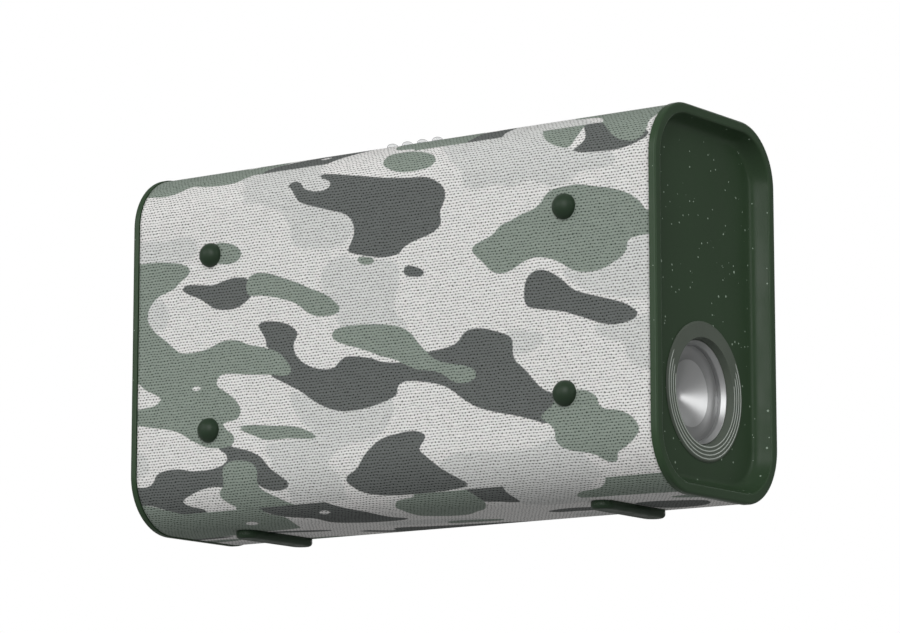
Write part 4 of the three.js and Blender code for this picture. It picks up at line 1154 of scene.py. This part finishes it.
def make_lenses():
    lens, lamp = 1.6, 1.3
    seat = sleeve_high.z + 0.02
    foot = seat - 0.4
    for k in range(1, 5):
        node = f"indicator_lens_{k}"
        _, high, middle = box_mm(node)
        at = (*middle.xy, 0)
        crown = arc(0, high.z - 1.1, lens, 1.0, 0, 90, 12)
        dome = [(0, foot - 0.1), (lens, foot - 0.1), *crown]
        piece(f"clear_dome_{k}", turned(dome, "z", at, 48), "clear_plastic", replaces=[node])
        cup = [(0, foot), (lamp, foot), *arc(0, seat, lamp, 0.95, 0, 90, 10)]
        piece(f"lamp_face_{k}", turned(cup, "z", at, 40), "lamp_white")
        rim = [(lamp + 0.04, foot), (lamp + 0.04, seat + 0.02), (lamp + 0.12, seat + 0.08)]
        rim += [(lamp + 0.24, seat + 0.08), (lamp + 0.24, foot)]
        piece(f"lamp_rim_{k}", turned(rim, "z", at, 40), "steel")


make_studs()
make_feet()
make_lenses()

# ---- Keys and their bezel ----------------------------------------------------------------------

bezel_low, bezel_high, bezel_middle = box_mm("key_bezel")
KEY_Y = bezel_middle.y
KEY_X = [box_mm(f"key_{name}")[2].x for name in KEYS]
KEY_TOP = box_mm("key_play")[1].z
KEY_RADIUS = 4.25
KEY_COLLAR = 5
KEY_HOLE = 4.55
MARK_LOW, MARK_HIGH = KEY_TOP - 0.1, KEY_TOP + 0.12


def make_bezel():
    low, high = bezel_low.z, bezel_high.z
    width, depth = bezel_high.x - bezel_low.x, bezel_high.y - bezel_low.y
    edge = 0.3
    levels = [(low, 0), *((z, edge - a) for a, z in arc(0, high - edge, edge, edge, 0, 90, 5))]
    rings = layers(levels, width, depth, depth / 2 - 0.01, (0, KEY_Y), 24)
    parts = [skinned(rings)]
    loops = [rings[-1]]
    for x in KEY_X:
        bore = [(low, 0), (high - 0.15, 0), (high - 0.04, 0.05), (high, 0.15)]
        inner = [lying(z, circle(KEY_HOLE + grow, x, KEY_Y, 64)) for z, grow in bore]
        parts.append(skinned(inner))
        loops.append(inner[-1])
    parts.append(flat_fill(loops))
    piece("key_surround", joined(*parts), "speckled_cap_plastic", replaces=["key_bezel"])


def bar(x, y, half_x, half_y):
    """A small raised bar on a key's top."""
    y += KEY_Y
    return block((x - half_x, y - half_y, MARK_LOW), (x + half_x, y + half_y, MARK_HIGH), 0.08)


def ring_mark(x, radius, gap_degrees, steps=40):
    """A raised ring on a key's top, open at the back by the angle given."""
    rings = []
    for k in range(steps + 1):
        a = math.radians(90 + gap_degrees / 2 + (360 - gap_degrees) * k / steps)
        out = Vector((math.cos(a), math.sin(a), 0))
        centre = Vector((x, KEY_Y, 0)) + out * radius
        corners = [(-0.2, MARK_LOW), (0.2, MARK_LOW), (0.17, MARK_HIGH), (-0.17, MARK_HIGH)]
        rings.append([centre + out * u + Vector((0, 0, z)) for u, z in corners])
    return skinned(rings, True)


def triangle_mark(x, size):
    back, tip, half = x - size * 0.5, x + size * 0.6, size * 0.6
    corners = [(back, KEY_Y - half), (tip, KEY_Y), (back, KEY_Y + half)]
    return skinned([lying(z, corners) for z in (MARK_LOW, MARK_HIGH)], True)


def make_keys():
    marks = {
        "pairing": lambda x: joined(ring_mark(x, 1.5, 90), bar(x, 0, 0.3, 0.3)),
        "volume_down": lambda x: bar(x, 0, 1.3, 0.2),
        "play": lambda x: triangle_mark(x, 2),
        "volume_up": lambda x: joined(bar(x, 0, 1.3, 0.2), bar(x, 0.8, 0.2, 0.5), bar(x, -0.8, 0.2, 0.5)),
        "power": lambda x: joined(ring_mark(x, 1.3, 70), bar(x, 1.1, 0.2, 0.7)),
    }
    edge = 0.5
    for name, x in zip(KEYS, KEY_X):
        low = box_mm(f"key_{name}")[0].z
        profile = [
            (0, low),
            (KEY_COLLAR, low),
            (KEY_COLLAR, low + 1),
            (KEY_RADIUS, low + 1),
            *arc(KEY_RADIUS - edge, KEY_TOP - edge, edge, edge, 0, 90, 6),
            (2.4, KEY_TOP - 0.12),
            (0, KEY_TOP - 0.16),
        ]
        shape = turned(profile, "z", (x, KEY_Y, 0), 64)
        body = f"{name}_key"
        piece(f"top_key_{name}", shape, "green_rubber", body, [f"key_{name}"])
        piece(f"key_mark_{name}", marks[name](x), "ring_ink", body)


make_bezel()
make_keys()

# ---- Port door, on the left --------------------------------------------------------------------

DOOR_SIZE = (20, 34)
DOOR_RADIUS = 4
DOOR_THICKNESS = 1.6
DOOR_GAP = 0.2
DOOR_EDGE = 0.5
RIB_START, RIB_PITCH, RIB_WIDTH, RIB_REACH = -7.6, 1.1, 0.5, 4.5


def make_door():
    inside = -FLOOR_X - DOOR_GAP
    outside = inside - DOOR_THICKNESS
    bend = outside + DOOR_EDGE
    levels = [(inside, 0.3), (inside - 0.3, 0), (bend, 0)]
    levels += [(bend - b, DOOR_EDGE - a) for a, b in arc(0, 0, DOOR_EDGE, DOOR_EDGE, 15, 90, 6)]
    levels += [(outside, 1.6), (outside + 0.15, 1.9)]
    panel = skinned(layers(levels, *DOOR_SIZE, DOOR_RADIUS, PORT_MIDDLE, 14, upright), True)
    y, z = PORT_MIDDLE
    web = block((HINGE_X + 0.7, y + 9, z - 5.9), (inside - 0.1, HINGE_Y - 0.3, z + 5.9), 0.2)
    ribs = []
    for k in range(4):
        low = y + RIB_START + RIB_PITCH * k
        high = low + RIB_WIDTH
        ribs.append(block((outside - 0.25, low, z - RIB_REACH), (outside + 0.3, high, z + RIB_REACH), 0.2))
    shape = joined(panel, knuckle(z - 6, z + 6), web, *ribs)
    piece("port_flap", shape, "green_rubber", "port_door", ["port_door"])


make_door()
